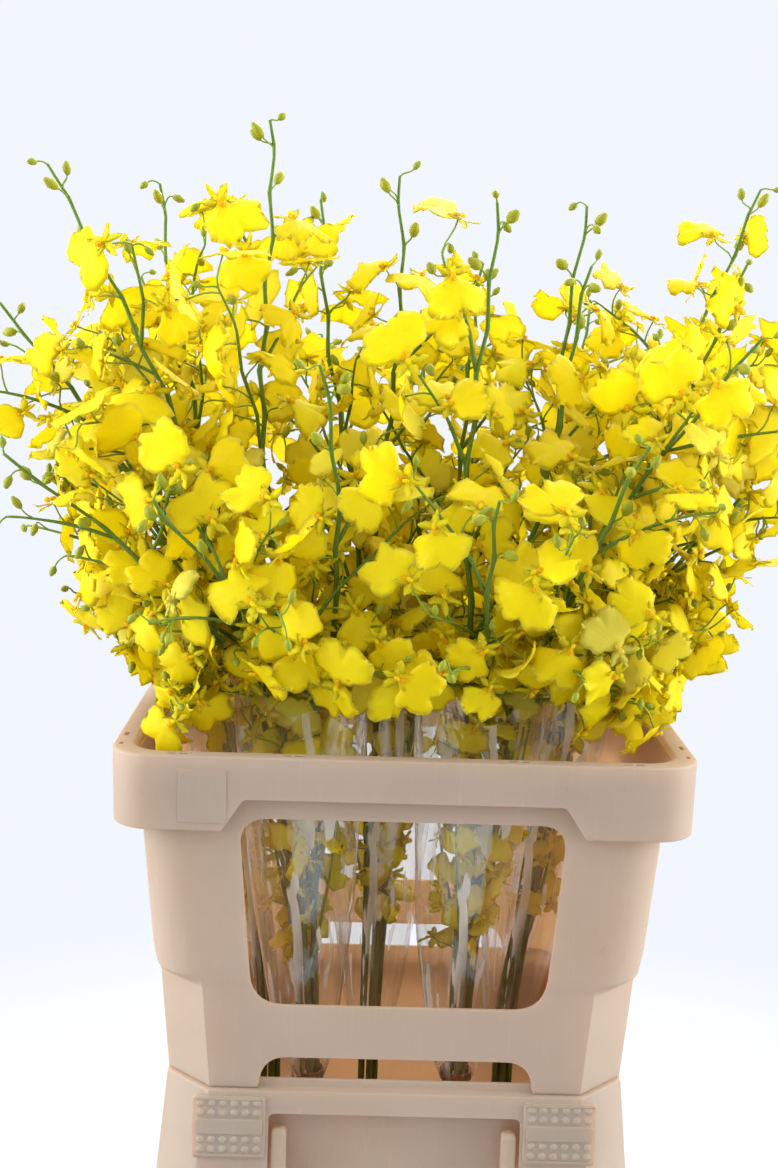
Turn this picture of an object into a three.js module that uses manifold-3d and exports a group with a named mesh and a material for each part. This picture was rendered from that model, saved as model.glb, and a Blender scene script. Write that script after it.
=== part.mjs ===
// Cut oncidium orchids in transport: five sleeved bunches of yellow flower sprays standing in a
// plastic bucket of water, steadied by a windowed collar that stacks on the bucket's rim.
// Millimetres, +Z up, origin at the centre of the bucket's underside.
import * as THREE from 'three';
import { mergeVertices } from 'three/addons/utils/BufferGeometryUtils.js';
import Module from 'manifold-3d';

const wasm = await Module();
wasm.setup();

// ---- Driving dimensions -------------------------------------------------------------------
const SEAT = 0.3;                 // gap between pieces that touch
const WALL = 3;                   // plastic wall of bucket and collar
const BUCKET_HEIGHT = 300;
const COLLAR_HEIGHT = 241;
const COLLAR_FOOT = BUCKET_HEIGHT + SEAT;
const RIM_TOP = COLLAR_FOOT + COLLAR_HEIGHT;
const WATER_LEVEL = 72;
const CORNER_STEPS = 2;           // facets in each quarter of a rounded outline

const KNOT_Z = 270;               // rubber tie round each bunch of stems
const MOUTH_Z = 560;              // open upper edge of the film sleeves
const KNOT_OFFSET = 6.2;          // stem axes stand this far from their bunch's axis in the tie
const MOUTH_REACH = 28;           // and at most this far from it at the sleeve's mouth
const STEM_RADIUS = 2.6;
const FILM = 0.8;                 // film wall
const FILM_SIDES = 7;
const FILM_KNOT_RADIUS = 14.8;
const FILM_MOUTH_RADIUS = 55;

const FIRST_NODE_Z = 577;         // lowest side shoot, just above the sleeves
const NODE_STEP = 32;             // between two joints of a flower stem
const SHOOT_SPAN = 52;            // straight span of a side shoot, with two blooms
const BUD_LENGTH = 11;
const PEDICEL = 21;               // stalk of one bloom
const TRIES = 36;                 // positions tried for each bloom or shoot
// Single blooms low on the stem, within the sleeve: between these heights, at this size.
const LOW_BLOOMS = [[436, 490, 0.88], [535, 568, 1.05]];

// Bunches: where each stands in the bucket, where its sleeve opens, and the tips of its sprays.
const BUNCHES = [
  {
    name: 'back_left', foot: [-98, 38], mouth: [-126, 52],
    tips: [[-188, 40, 939], [-312, -10, 845], [-215, 140, 872], [-264, 24, 716], [-246, 104, 770]],
  },
  {
    name: 'front_left', foot: [-64, -42], mouth: [-76, -58],
    tips: [[-254, -60, 940], [-113, -20, 980], [-283, -112, 743], [-168, -188, 722], [-64, -178, 812]],
  },
  {
    name: 'mid_back', foot: [-18, 36], mouth: [-10, 56],
    tips: [[-73, 62, 932], [-14, 24, 948], [18, 186, 842], [62, 106, 890], [-82, 182, 830]],
  },
  {
    name: 'front_right', foot: [48, -38], mouth: [54, -58],
    tips: [[45, -92, 923], [226, -124, 836], [46, -202, 730], [154, -180, 766], [128, -58, 884]],
  },
  {
    name: 'back_right', foot: [92, 42], mouth: [120, 54],
    tips: [[121, 12, 930], [262, 80, 951], [235, -26, 889], [290, 0, 764], [158, 174, 860],
      [282, 92, 712]],
  },
];

// Collar and bucket outlines, from the outside at the foot, over the top and down the inside.
// Each row is [height, half width X, half depth Y, corner size, 0 chamfer ... 1 round corner].
const COLLAR_PROFILE = [
  [COLLAR_FOOT, 161.5, 134.5, 32, 0],
  [RIM_TOP - 166, 167.4, 137.2, 32, 0],
  [RIM_TOP - 159, 170, 138.4, 33, 1],
  [RIM_TOP - 143, 173, 139, 34, 1],
  [RIM_TOP - 68, 180, 140, 34, 1],
  [RIM_TOP - 5, 183, 140.5, 34, 1],
  [RIM_TOP - 5, 196.8, 146.8, 27, 1],
  [RIM_TOP - 52, 196, 146, 26, 1],
  [RIM_TOP - 52, 199, 149, 29, 1],
  [RIM_TOP, 200, 150, 30, 1],
  [RIM_TOP, 186, 136, 24, 1],
  [RIM_TOP - 68, 177, 136, 31, 1],
  [RIM_TOP - 143, 170, 135.6, 31, 1],
  [RIM_TOP - 159, 167, 135, 30, 1],
  [RIM_TOP - 166, 164, 134, 30.2, 0],
  [COLLAR_FOOT, 158.5, 131.5, 30.2, 0],
];
const SKIRT_TOP = BUCKET_HEIGHT - 6;
const SKIRT_FOOT = 205;
const BUCKET_PROFILE = [
  [0, 126, 101, 24, 1],
  [SKIRT_TOP, 153, 127, 29, 0.6],
  [SKIRT_TOP, 159.2, 134.6, 30, 0],
  [SKIRT_FOOT, 168, 142, 30, 0.5],
  [SKIRT_FOOT, 171, 145, 32, 0.5],
  [BUCKET_HEIGHT, 162, 138, 32, 0],
  [BUCKET_HEIGHT, 157.8, 130.8, 30, 0],
  [BUCKET_HEIGHT + 6, 157.2, 130.2, 30, 0],
  [BUCKET_HEIGHT + 6, 154.2, 127.4, 28.6, 0],
  [SKIRT_TOP - 4, 149.8, 123.8, 27, 0.6],
  [WALL, 123, 98, 21, 1],
];

// ---- Closed meshes ------------------------------------------------------------------------
function surface(points, index) {
  const geometry = new THREE.BufferGeometry().setFromPoints(points);
  geometry.setIndex(index);
  return geometry;
}

// Rings of equally many points joined in order; either closed on itself or capped at both ends.
// Rising and falling rows are split along the same diagonal, so that thin walls don't cross.
function ringStack(rings, closed) {
  const count = rings[0].length;
  const joins = closed ? rings.length : rings.length - 1;
  const index = [];
  for (let ring = 0; ring < joins; ring++) {
    const after = (ring + 1) % rings.length;
    const falling = rings[after][0].z < rings[ring][0].z;
    const here = ring * count;
    const next = after * count;
    for (let i = 0; i < count; i++) {
      const j = (i + 1) % count;
      if (falling) index.push(here + i, here + j, next + i, here + j, next + j, next + i);
      else index.push(here + i, here + j, next + j, here + i, next + j, next + i);
    }
  }
  if (!closed) {
    const last = (rings.length - 1) * count;
    for (let i = 1; i < count - 1; i++) {
      index.push(0, i + 1, i, last, last + i, last + i + 1);
    }
  }
  return surface(rings.flat(), index);
}

// Rectangle with its corners chamfered, rounded or between the two, counter-clockwise.
function outline([z, halfX, halfY, corner, roundness]) {
  const points = [];
  for (let quarter = 0; quarter < 4; quarter++) {
    const signX = quarter === 0 || quarter === 3 ? 1 : -1;
    const signY = quarter < 2 ? 1 : -1;
    for (let step = 0; step <= CORNER_STEPS; step++) {
      const t = step / CORNER_STEPS;
      const u = THREE.MathUtils.lerp(1 - t, Math.cos(t * Math.PI / 2), roundness) * corner;
      const v = THREE.MathUtils.lerp(t, Math.sin(t * Math.PI / 2), roundness) * corner;
      const [dx, dy] = [[u, v], [-v, u], [-u, -v], [v, -u]][quarter];
      points.push(new THREE.Vector3(
        signX * (halfX - corner) + dx, signY * (halfY - corner) + dy, z));
    }
  }
  return points;
}

// ---- Joins and cuts -----------------------------------------------------------------------
function toSolid(geometry) {
  let bare = geometry.clone();
  bare.deleteAttribute('normal');
  bare.deleteAttribute('uv');
  bare = mergeVertices(bare, 1e-5);
  return new wasm.Manifold(new wasm.Mesh({
    numProp: 3,
    vertProperties: new Float32Array(bare.attributes.position.array),
    triVerts: new Uint32Array(bare.index.array),
  }));
}

function toGeometry(solid) {
  const { vertProperties, triVerts } = solid.getMesh();
  const geometry = new THREE.BufferGeometry();
  geometry.setAttribute('position', new THREE.BufferAttribute(new Float32Array(vertProperties), 3));
  geometry.setIndex([...triVerts]);
  return geometry;
}

// A prism along Y through both long walls, from an outline drawn as seen from the front.
function acrossY(shape, from, to) {
  const prism = new THREE.ExtrudeGeometry(shape, { depth: to - from, bevelEnabled: false,
    curveSegments: 3 });
  prism.rotateX(Math.PI / 2);
  prism.translate(0, to, 0);
  return prism;
}

// Four-sided opening, narrower below, with rounded corners where corner is over zero.
function taperedOpening(top, bottom, halfTop, halfBottom, topCorner, bottomCorner) {
  const shape = new THREE.Shape();
  const corners = [[-halfBottom, bottom, bottomCorner], [halfBottom, bottom, bottomCorner],
    [halfTop, top, topCorner], [-halfTop, top, topCorner]];
  corners.forEach(([x, z, size], i) => {
    const [beforeX, beforeZ] = corners[(i + 3) % 4];
    const [afterX, afterZ] = corners[(i + 1) % 4];
    const back = size / Math.hypot(beforeX - x, beforeZ - z);
    const ahead = size / Math.hypot(afterX - x, afterZ - z);
    const startX = x + (beforeX - x) * back;
    const startZ = z + (beforeZ - z) * back;
    if (i === 0) shape.moveTo(startX, startZ);
    else shape.lineTo(startX, startZ);
    if (size > 0) shape.quadraticCurveTo(x, z, x + (afterX - x) * ahead, z + (afterZ - z) * ahead);
  });
  shape.closePath();
  return shape;
}

// ---- Container ----------------------------------------------------------------------------
function collarGeometry() {
  let collar = toSolid(ringStack(COLLAR_PROFILE.map(outline), true));
  const through = 170;
  const windows = taperedOpening(RIM_TOP - 45, RIM_TOP - 179, 112, 101, 20, 22);
  const feet = taperedOpening(COLLAR_FOOT + 23.5, COLLAR_FOOT - 10, 92, 98, 16, 0);
  collar = collar.subtract(toSolid(acrossY(windows, -through, through)));
  collar = collar.subtract(toSolid(acrossY(feet, -through, through)));
  const skirtStep = taperedOpening(RIM_TOP - 29.4, RIM_TOP - 60, 108.5, 128.5, 0, 0);
  for (const side of [-1, 1]) {
    const near = side * 142.6;
    const far = side * 160;
    const cut = acrossY(skirtStep, Math.min(near, far), Math.max(near, far));
    collar = collar.subtract(toSolid(cut));
  }
  return toGeometry(collar);
}

function bucketGeometry() {
  let bucket = toSolid(ringStack(BUCKET_PROFILE.map(outline), false));
  const grip = taperedOpening(BUCKET_HEIGHT - 16, SKIRT_FOOT - 5, 88, 88, 5, 0);
  for (const side of [-1, 1]) {
    const near = side * 132;
    const far = side * 160;
    bucket = bucket.subtract(toSolid(acrossY(grip, Math.min(near, far), Math.max(near, far))));
    for (const x of [-115.5, 115.5]) {
      const plate = new THREE.BoxGeometry(51, 4, 44);
      plate.rotateX(side * Math.atan(7 / 95));
      plate.translate(x, side * 139.6, BUCKET_HEIGHT - 26);
      bucket = bucket.add(toSolid(plate));
    }
  }
  return toGeometry(bucket);
}

function waterGeometry() {
  const [brim, floor] = BUCKET_PROFILE.slice(-2);
  const level = (height) => {
    const t = (height - floor[0]) / (brim[0] - floor[0]);
    const row = floor.map((value, i) => THREE.MathUtils.lerp(value, brim[i], t));
    return outline([height, row[1] - 2 * SEAT, row[2] - 2 * SEAT, row[3], row[4]]);
  };
  let water = toSolid(ringStack([level(WALL + SEAT), level(WATER_LEVEL)], false));
  for (const bunch of BUNCHES) {
    const hole = new THREE.CylinderGeometry(11, 11, WATER_LEVEL + 20, 6);
    hole.rotateX(Math.PI / 2);
    hole.translate(bunch.foot[0], bunch.foot[1], WATER_LEVEL / 2);
    water = water.subtract(toSolid(hole));
  }
  return toGeometry(water);
}

function tieGeometry(bunch) {
  const inner = 10;
  const outer = 12.2;
  const half = 4;
  const profile = [[inner, -half], [outer, -half], [outer, half], [inner, half], [inner, -half]];
  const tie = new THREE.LatheGeometry(profile.map(([r, h]) => new THREE.Vector2(r, h)), 8);
  tie.rotateX(Math.PI / 2);
  tie.translate(bunch.foot[0], bunch.foot[1], KNOT_Z);
  return toGeometry(toSolid(tie));
}

// ---- Film sleeves -------------------------------------------------------------------------
function rise(z) {
  return THREE.MathUtils.clamp((z - KNOT_Z) / (MOUTH_Z - KNOT_Z), 0, 1.1);
}

function bunchAxis(bunch, z) {
  const u = rise(z);
  return [THREE.MathUtils.lerp(bunch.foot[0], bunch.mouth[0], u),
    THREE.MathUtils.lerp(bunch.foot[1], bunch.mouth[1], u)];
}

function filmRadius(z) {
  return FILM_KNOT_RADIUS + (FILM_MOUTH_RADIUS - FILM_KNOT_RADIUS) * rise(z) ** 0.6;
}

function sleeveGeometry(bunch, number) {
  const heights = [KNOT_Z - 3, KNOT_Z + 70, MOUTH_Z];
  const ring = (level, inset) => Array.from({ length: FILM_SIDES }, (unused, side) => {
    const angle = (side + 0.35 * level) / FILM_SIDES * Math.PI * 2;
    const crease = level === 0 ? 0 : between(-1, 1, 71, number, level, side);
    const z = heights[level] + (level === 2 ? 9 * crease : 0);
    const [x, y] = bunchAxis(bunch, heights[level]);
    const radius = filmRadius(heights[level]) * (1 + 0.035 * crease) - inset;
    return new THREE.Vector3(x + radius * Math.cos(angle), y + radius * Math.sin(angle), z);
  });
  const levels = heights.map((unused, level) => level);
  const outside = levels.map((level) => ring(level, 0));
  const inside = levels.map((level) => ring(level, FILM)).reverse();
  return ringStack([...outside, ...inside], true);
}

// ---- Repeatable chance --------------------------------------------------------------------
// A number from 0 to 1 that depends only on its whole-number keys.
function chance(...keys) {
  let hash = 2166136261;
  for (const key of keys) {
    hash = Math.imul(hash ^ key, 16777619) >>> 0;
    hash = Math.imul(hash ^ (hash >>> 15), 2246822519) >>> 0;
    hash = (hash ^ (hash >>> 13)) >>> 0;
  }
  return hash / 4294967296;
}

function between(low, high, ...keys) {
  return low + (high - low) * chance(...keys);
}

// ---- Clearances ---------------------------------------------------------------------------
// Everything that grows is kept clear of the rest by round-ended rods that enclose it.
const CLEARANCE = 0.4;
const rods = [];

function rod(from, to, radius, part) {
  const centre = from.clone().lerp(to, 0.5);
  return { from, to, radius, part, centre, reach: from.distanceTo(to) / 2 + radius };
}

function axisDistance(first, second) {
  const d1 = first.to.clone().sub(first.from);
  const d2 = second.to.clone().sub(second.from);
  const across = first.from.clone().sub(second.from);
  const [a, e, f, c, b] = [d1.dot(d1), d2.dot(d2), d2.dot(across), d1.dot(across), d1.dot(d2)];
  const clamp = THREE.MathUtils.clamp;
  const spread = a * e - b * b;
  let s = spread > 1e-9 ? clamp((b * f - c * e) / spread, 0, 1) : 0;
  const t = clamp((b * s + f) / e, 0, 1);
  s = clamp((b * t - c) / a, 0, 1);
  return d1.multiplyScalar(s).add(across).distanceTo(d2.multiplyScalar(t));
}

function isClear(candidates, ignored) {
  for (const one of candidates) {
    for (const other of rods) {
      if (other.part === ignored) continue;
      const room = one.reach + other.reach + CLEARANCE;
      if (one.centre.distanceToSquared(other.centre) > room * room) continue;
      if (axisDistance(one, other) < one.radius + other.radius + CLEARANCE) return false;
    }
  }
  return true;
}

// The bouquet widens upwards from the collar's rim to its full spread.
function inBouquet(point) {
  const halfX = Math.min(212 + 0.52 * (point.z - RIM_TOP), 345);
  return Math.hypot(point.x / halfX, point.y / (halfX - 70)) < 1;
}

// Free air above and around the sleeves' mouths, or inside the spray's own sleeve.
function hasAir(candidates, bunch) {
  for (const { from, to, radius } of candidates) {
    for (let step = 0; step <= 4; step++) {
      const point = from.clone().lerp(to, step / 4);
      if (!inBouquet(point)) return false;
      const above = point.z - radius > MOUTH_Z + 11;
      const beside = point.z - radius > RIM_TOP + 7 && BUNCHES.every(({ mouth }) =>
        Math.hypot(point.x - mouth[0], point.y - mouth[1]) > FILM_MOUTH_RADIUS * 1.04 + radius + 2);
      const [x, y] = bunchAxis(bunch, point.z);
      const inside = point.z - radius > KNOT_Z + 40 && point.z + radius < MOUTH_Z + 40
        && Math.hypot(point.x - x, point.y - y) + radius < filmRadius(point.z - radius) * 0.9 - 2;
      if (!above && !beside && !inside) return false;
    }
  }
  return true;
}

// ---- Flower sprays ------------------------------------------------------------------------
// A tube through points with a radius at each; side is a direction across the whole path.
function tube(points, radii, side, sides) {
  const rings = points.map((point, i) => {
    const ahead = points[Math.min(i + 1, points.length - 1)];
    const tangent = ahead.clone().sub(points[Math.max(i - 1, 0)]).normalize();
    const normal = side.clone().addScaledVector(tangent, -side.dot(tangent)).normalize();
    const binormal = tangent.clone().cross(normal);
    return Array.from({ length: sides }, (unused, k) => {
      const angle = k / sides * Math.PI * 2;
      return point.clone().addScaledVector(normal, radii[i] * Math.cos(angle))
        .addScaledVector(binormal, radii[i] * Math.sin(angle));
    });
  });
  return ringStack(rings, false);
}

function stemPoint(spray, z) {
  const { bunch, knot, mouth, tip } = spray;
  if (z <= KNOT_Z) return new THREE.Vector3(knot[0], knot[1], z);
  if (z <= MOUTH_Z) {
    const u = rise(z);
    const [x, y] = bunchAxis(bunch, z);
    const offset = (axis) => (knot[axis] - bunch.foot[axis]) * (1 - u * u)
      + (mouth[axis] - bunch.mouth[axis]) * u * u;
    return new THREE.Vector3(x + offset(0), y + offset(1), z);
  }
  const u = (z - MOUTH_Z) / (tip[2] - MOUTH_Z);
  const bend = 0.75 * u + 0.25 * u * u;
  return new THREE.Vector3(
    THREE.MathUtils.lerp(mouth[0], tip[0], bend), THREE.MathUtils.lerp(mouth[1], tip[1], bend), z);
}

// Joints of a spray's main stem, each serving one side in turn, and the way out of the bunch.
function sprayPlan(bunch, tip, number, order) {
  const away = Math.atan2(tip[1] - bunch.mouth[1], tip[0] - bunch.mouth[0]);
  const distance = Math.hypot(tip[1] - bunch.mouth[1], tip[0] - bunch.mouth[0]);
  const turn = (order + 0.5) / bunch.tips.length * Math.PI * 2 - Math.PI;
  const swing = Math.atan2(Math.sin(away - turn), Math.cos(away - turn));
  const leave = turn + 0.5 * swing;
  const reach = Math.min(MOUTH_REACH, 12 + 0.2 * distance);
  const spray = {
    bunch, tip, number, out: away,
    knot: [bunch.foot[0] + KNOT_OFFSET * Math.cos(turn), bunch.foot[1] + KNOT_OFFSET * Math.sin(turn)],
    mouth: [bunch.mouth[0] + reach * Math.cos(leave), bunch.mouth[1] + reach * Math.sin(leave)],
  };
  spray.outward = new THREE.Vector3(Math.cos(away), Math.sin(away), 0);
  const count = Math.max(6, Math.round((tip[2] - FIRST_NODE_Z) / NODE_STEP));
  const step = (tip[2] - FIRST_NODE_Z) / count;
  const bends = [WALL + SEAT, KNOT_Z, KNOT_Z + 150, MOUTH_Z];
  for (let i = 0; i < count - 1; i += 2) bends.push(FIRST_NODE_Z + (i + 0.5) * step);
  spray.path = [...bends.map((z) => stemPoint(spray, z)), new THREE.Vector3(...tip)];
  spray.joints = Array.from({ length: count }, (unused, i) => {
    const hand = i % 2 === 0 ? 1 : -1;
    return { hand, ...pathAtHeight(spray.path, FIRST_NODE_Z + i * step) };
  });
  return spray;
}

// Place and direction at a height on a path of straight spans.
function pathAtHeight(path, z) {
  const span = path.findLastIndex((point, i) => i < path.length - 1 && point.z <= z);
  const [from, to] = [path[span], path[span + 1]];
  const along = to.clone().sub(from).normalize();
  return { place: from.clone().lerp(to, (z - from.z) / (to.z - from.z)), along };
}

// The last span of a path ends in a pointed bud.
function withBud(path) {
  const end = path.at(-1);
  const before = path.at(-2);
  const budFoot = end.clone().lerp(before, BUD_LENGTH / end.distanceTo(before));
  return [...path.slice(0, -1), budFoot, budFoot.clone().lerp(end, 0.45), end];
}
const BUD_RADII = [0.9, 2.7, 0.4];

function stemParts(spray) {
  const path = withBud(spray.path);
  const radii = path.map((unused, i) => {
    const fromEnd = path.length - 1 - i;
    if (fromEnd < 3) return BUD_RADII[2 - fromEnd];
    return i < 3 ? STEM_RADIUS : Math.max(1.2, STEM_RADIUS - 0.28 * (i - 2));
  });
  path.slice(1).forEach((point, i) =>
    rods.push(rod(path[i], point, Math.max(radii[i], radii[i + 1]) + 0.1, spray.number * 100)));
  return toSolid(tube(path, radii, spray.outward, 3));
}

// A side shoot arches away from the stem; its angle from upright grows steadily along it. It is
// made of straight spans, with one bloom on the first span and two on each of the others.
function shootPlan(spray, jointNumber, attempt) {
  const { number, joints, out } = spray;
  const joint = joints[jointNumber];
  const keys = [number, jointNumber, attempt];
  const height = jointNumber / joints.length;
  const turned = attempt % 3 === 2 ? Math.PI : 0;
  const heading = out + turned + joint.hand * between(0.6, 1.5, 1, ...keys);
  const spans = Math.max(2, Math.round(between(2.3, 3.5, 2, ...keys) * (1 - 0.6 * height)
    * (attempt < 12 ? 1 : 0.7)));
  const start = between(0.4, 0.85, 3, ...keys) + (jointNumber === 0 ? 0.5 : 0);
  const end = start + between(0.15, 0.9, 4, ...keys) * (1 - 0.6 * height);
  const length = spans * SHOOT_SPAN * between(0.9, 1.1, 5, ...keys);
  const points = Array.from({ length: spans + 1 }, (unused, i) => {
    const angle = start + (end - start) * i / spans;
    const away = (Math.cos(start) - Math.cos(angle)) / (end - start) * length;
    const up = (Math.sin(angle) - Math.sin(start)) / (end - start) * length;
    return joint.place.clone().add(
      new THREE.Vector3(Math.cos(heading) * away, Math.sin(heading) * away, up));
  });
  const carriers = points.slice(1).flatMap((point, i) => {
    const along = point.clone().sub(points[i]).normalize();
    return (i === 0 ? [0.8] : [0.2, 0.8]).map((part) =>
      ({ place: points[i].clone().lerp(point, part), along, reference: DOWN }));
  });
  return { points, carriers, part: number * 100 + 1 + jointNumber };
}
const DOWN = new THREE.Vector3(0, 0, -1);

function shootParts(shoot) {
  const path = withBud(shoot.points);
  path.splice(-3, 1);
  const radii = path.map((unused, i) => {
    const fromEnd = path.length - 1 - i;
    if (fromEnd < 2) return BUD_RADII[2 - fromEnd];
    return i === 0 ? 0.9 : 1.6;
  });
  const spans = path.slice(1).map((point, i) =>
    rod(path[i], point, Math.max(radii[i], radii[i + 1]) + 0.1, shoot.part));
  return { tube: tube(path, radii, DOWN, 3), spans };
}

// A bloom hangs on a thin stalk: narrow waist, then a broad lip of two lobes with a notch between.
// Lip outline seen from its face, counter-clockwise from the left of the waist.
const LIP = [[-3, 1.5, 0], [-19.5, -7, -1.5], [-14, -27, -3.5], [0, -21, 0], [14, -27, -3.5],
  [19.5, -7, -1.5], [3, 1.5, 0]];
const LIP_FACE = [0, -9, 2.2];
const LIP_BACK = [0, -6, -2.6];
const MIN_OPENING = 0.62;         // a bloom faces away from its stalk: cosine of the angle between

// The stalk leaves one of the three flat sides of the stem or shoot that carries it.
function bloomPlan(carrier, outward, keys, attempt, size) {
  const { place: root, along, reference } = carrier;
  const all = [...keys, attempt];
  const normal = reference.clone().addScaledVector(along, -reference.dot(along)).normalize();
  const binormal = along.clone().cross(normal);
  const flank = (attempt + Math.floor(3 * chance(10, ...keys))) % 3;
  const turn = Math.PI / 3 * (1 + 2 * flank) + between(-0.45, 0.45, 11, ...all);
  const lean = between(0.8, 1.35, 12, ...all);
  const stalk = normal.multiplyScalar(Math.cos(turn)).addScaledVector(binormal, Math.sin(turn))
    .multiplyScalar(Math.sin(lean)).addScaledVector(along, Math.cos(lean));
  const waist = root.clone().addScaledVector(stalk, PEDICEL * between(0.75, 1.3, 13, ...all));
  const jitter = new THREE.Vector3(between(-1, 1, 14, ...all), between(-1, 1, 15, ...all),
    between(-1, 1, 16, ...all));
  const face = stalk.clone().addScaledVector(outward, 0.7).addScaledVector(jitter, 0.5).normalize();
  const hang = new THREE.Vector3(jitter.y, jitter.z, between(-1.3, 0.9, 18, ...all));
  const lip = hang.addScaledVector(face, -hang.dot(face)).normalize();
  const width = face.clone().cross(lip);
  const scale = size * between(0.9, 1.1, 17, ...all);
  const place = ([x, y, z]) => waist.clone().addScaledVector(width, x * scale)
    .addScaledVector(lip, -y * scale).addScaledVector(face, z * scale);
  return { root, stalk, waist, place, scale, opens: stalk.dot(face) };
}

function bloomRods(bloom, part) {
  const { place, root, waist, scale } = bloom;
  return [
    rod(place([-13, -8.5, -0.5]), place([13, -8.5, -0.5]), 7.6 * scale, part),
    rod(place([-9.5, -20, -1.5]), place([9.5, -20, -1.5]), 8.4 * scale, part),
    rod(root.clone().lerp(waist, 0.3), waist, 1.6, part),
  ];
}

function bloomGeometry(bloom) {
  const { place, root, stalk } = bloom;
  const count = LIP.length;
  const points = [...LIP, LIP_FACE, LIP_BACK].map(place);
  points.push(root.clone().addScaledVector(stalk, -0.8));
  const [face, back, sunk] = [count, count + 1, count + 2];
  const index = [];
  for (let i = 0; i < count; i++) {
    const next = (i + 1) % count;
    index.push(face, i, next);
    if (next !== 0) index.push(back, next, i);
  }
  index.push(0, count - 1, sunk, count - 1, back, sunk, back, 0, sunk);
  return surface(points, index);
}

// A bud: a slim stalk that swells to three sides and ends in a point.
function budPlan(carrier, hand) {
  const { place: root, along, reference } = carrier;
  const sideways = along.clone().cross(reference).normalize().multiplyScalar(hand);
  const direction = along.clone().addScaledVector(sideways, 0.9).addScaledVector(reference, 0.35);
  direction.normalize();
  const at = (distance) => root.clone().addScaledVector(direction, distance);
  return { at, direction, across: sideways };
}

function budGeometry({ at, direction, across }) {
  const over = direction.clone().cross(across).normalize();
  const wide = over.clone().cross(direction);
  const belly = [0, 1, 2].map((corner) => {
    const angle = corner * Math.PI * 2 / 3;
    return at(13).addScaledVector(wide, 2.8 * Math.cos(angle))
      .addScaledVector(over, 2.8 * Math.sin(angle));
  });
  const index = [0, 2, 1, 0, 3, 2, 0, 1, 3, 4, 1, 2, 4, 2, 3, 4, 3, 1];
  return surface([at(-0.7), ...belly, at(20)], index);
}

// ---- Assembly -----------------------------------------------------------------------------
const object = new THREE.Group();

function addPiece(name, geometry, colour, roughness) {
  const flat = geometry.index ? geometry.toNonIndexed() : geometry;
  flat.computeVertexNormals();
  const material = new THREE.MeshStandardMaterial({ color: colour, roughness, metalness: 0 });
  const mesh = new THREE.Mesh(flat, material);
  mesh.name = name;
  object.add(mesh);
}

const PLASTIC = 0xd8c8b8;
addPiece('bucket', bucketGeometry(), PLASTIC, 0.5);
addPiece('collar', collarGeometry(), PLASTIC, 0.5);
addPiece('water', waterGeometry(), 0xcfdde0, 0.05);
BUNCHES.forEach((bunch, i) => {
  addPiece(`tie_${bunch.name}`, tieGeometry(bunch), 0xb98a4e, 0.7);
  addPiece(`sleeve_${bunch.name}`, sleeveGeometry(bunch, i), 0xeef3f5, 0.1);
});

// Tips are taken round their bunch in order, so that its stems fan out without crossing.
const sprays = BUNCHES.flatMap((bunch, bunchNumber) => {
  const around = (tip) => Math.atan2(tip[1] - bunch.mouth[1], tip[0] - bunch.mouth[0]);
  const tips = [...bunch.tips].sort((one, other) => around(one) - around(other));
  return tips.map((tip, order) => sprayPlan(bunch, tip, bunchNumber * 10 + order + 1, order));
});
sprays.forEach((spray) => { spray.solid = stemParts(spray); });

function sprout(spray, geometry, newRods) {
  rods.push(...newRods);
  spray.solid = spray.solid.add(toSolid(geometry));
}

function growBloom(spray, carrier, keys, ownPart, size = 1.1) {
  const { place } = carrier;
  const axis = bunchAxis(spray.bunch, place.z);
  const outward = new THREE.Vector3(place.x - axis[0] * 0.3, place.y - axis[1] * 0.3,
    0.5 * (place.z - 700)).normalize();
  for (let attempt = 0; attempt < TRIES; attempt++) {
    const bloom = bloomPlan(carrier, outward, keys, attempt, size);
    if (bloom.opens < MIN_OPENING) continue;
    const newRods = bloomRods(bloom, ownPart + 50);
    const lips = newRods.slice(0, 2);
    if (!hasAir(newRods, spray.bunch) || !isClear(lips, -1)) continue;
    if (!isClear(newRods.slice(2), ownPart)) continue;
    sprout(spray, bloomGeometry(bloom), newRods);
    return true;
  }
  return false;
}

// A side shoot stays only where most of its blooms find room; otherwise it tries another way.
function growShoot(spray, joint) {
  for (let attempt = 0; attempt < TRIES; attempt++) {
    const shoot = shootPlan(spray, joint, attempt);
    const parts = shootParts(shoot);
    if (!hasAir(parts.spans, spray.bunch) || !isClear(parts.spans, spray.number * 100)) continue;
    const before = { solid: spray.solid, rodCount: rods.length };
    sprout(spray, parts.tube, parts.spans);
    const grown = shoot.carriers.filter((carrier, i) =>
      growBloom(spray, carrier, [shoot.part, i], shoot.part));
    if (grown.length >= 0.7 * shoot.carriers.length) return true;
    spray.solid = before.solid;
    rods.length = before.rodCount;
  }
  return false;
}

function growBud(spray, carrier, joint) {
  const bud = budPlan(carrier, joint % 2 === 0 ? 1 : -1);
  const budRod = rod(bud.at(4), bud.at(20), 2.8, spray.number * 100 + 70 + joint);
  if (isClear([budRod], spray.number * 100)) sprout(spray, budGeometry(bud), [budRod]);
}

// Shoots at the lowest joint and then at every other one, buds at the top two, blooms between.
function growJoint(spray, joint) {
  const { joints, number, outward } = spray;
  const carrier = { ...joints[joint], reference: outward };
  const isShoot = joint === 0 || (joint % 2 === 1 && joint < 0.7 * joints.length);
  if (joint >= joints.length - 2) growBud(spray, carrier, joint);
  else if (!isShoot || !growShoot(spray, joint)) {
    growBloom(spray, carrier, [number, 60 + joint], number * 100);
    if (joint > 0.5 * joints.length) growBloom(spray, carrier, [number, 80 + joint], number * 100);
  }
}

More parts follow.
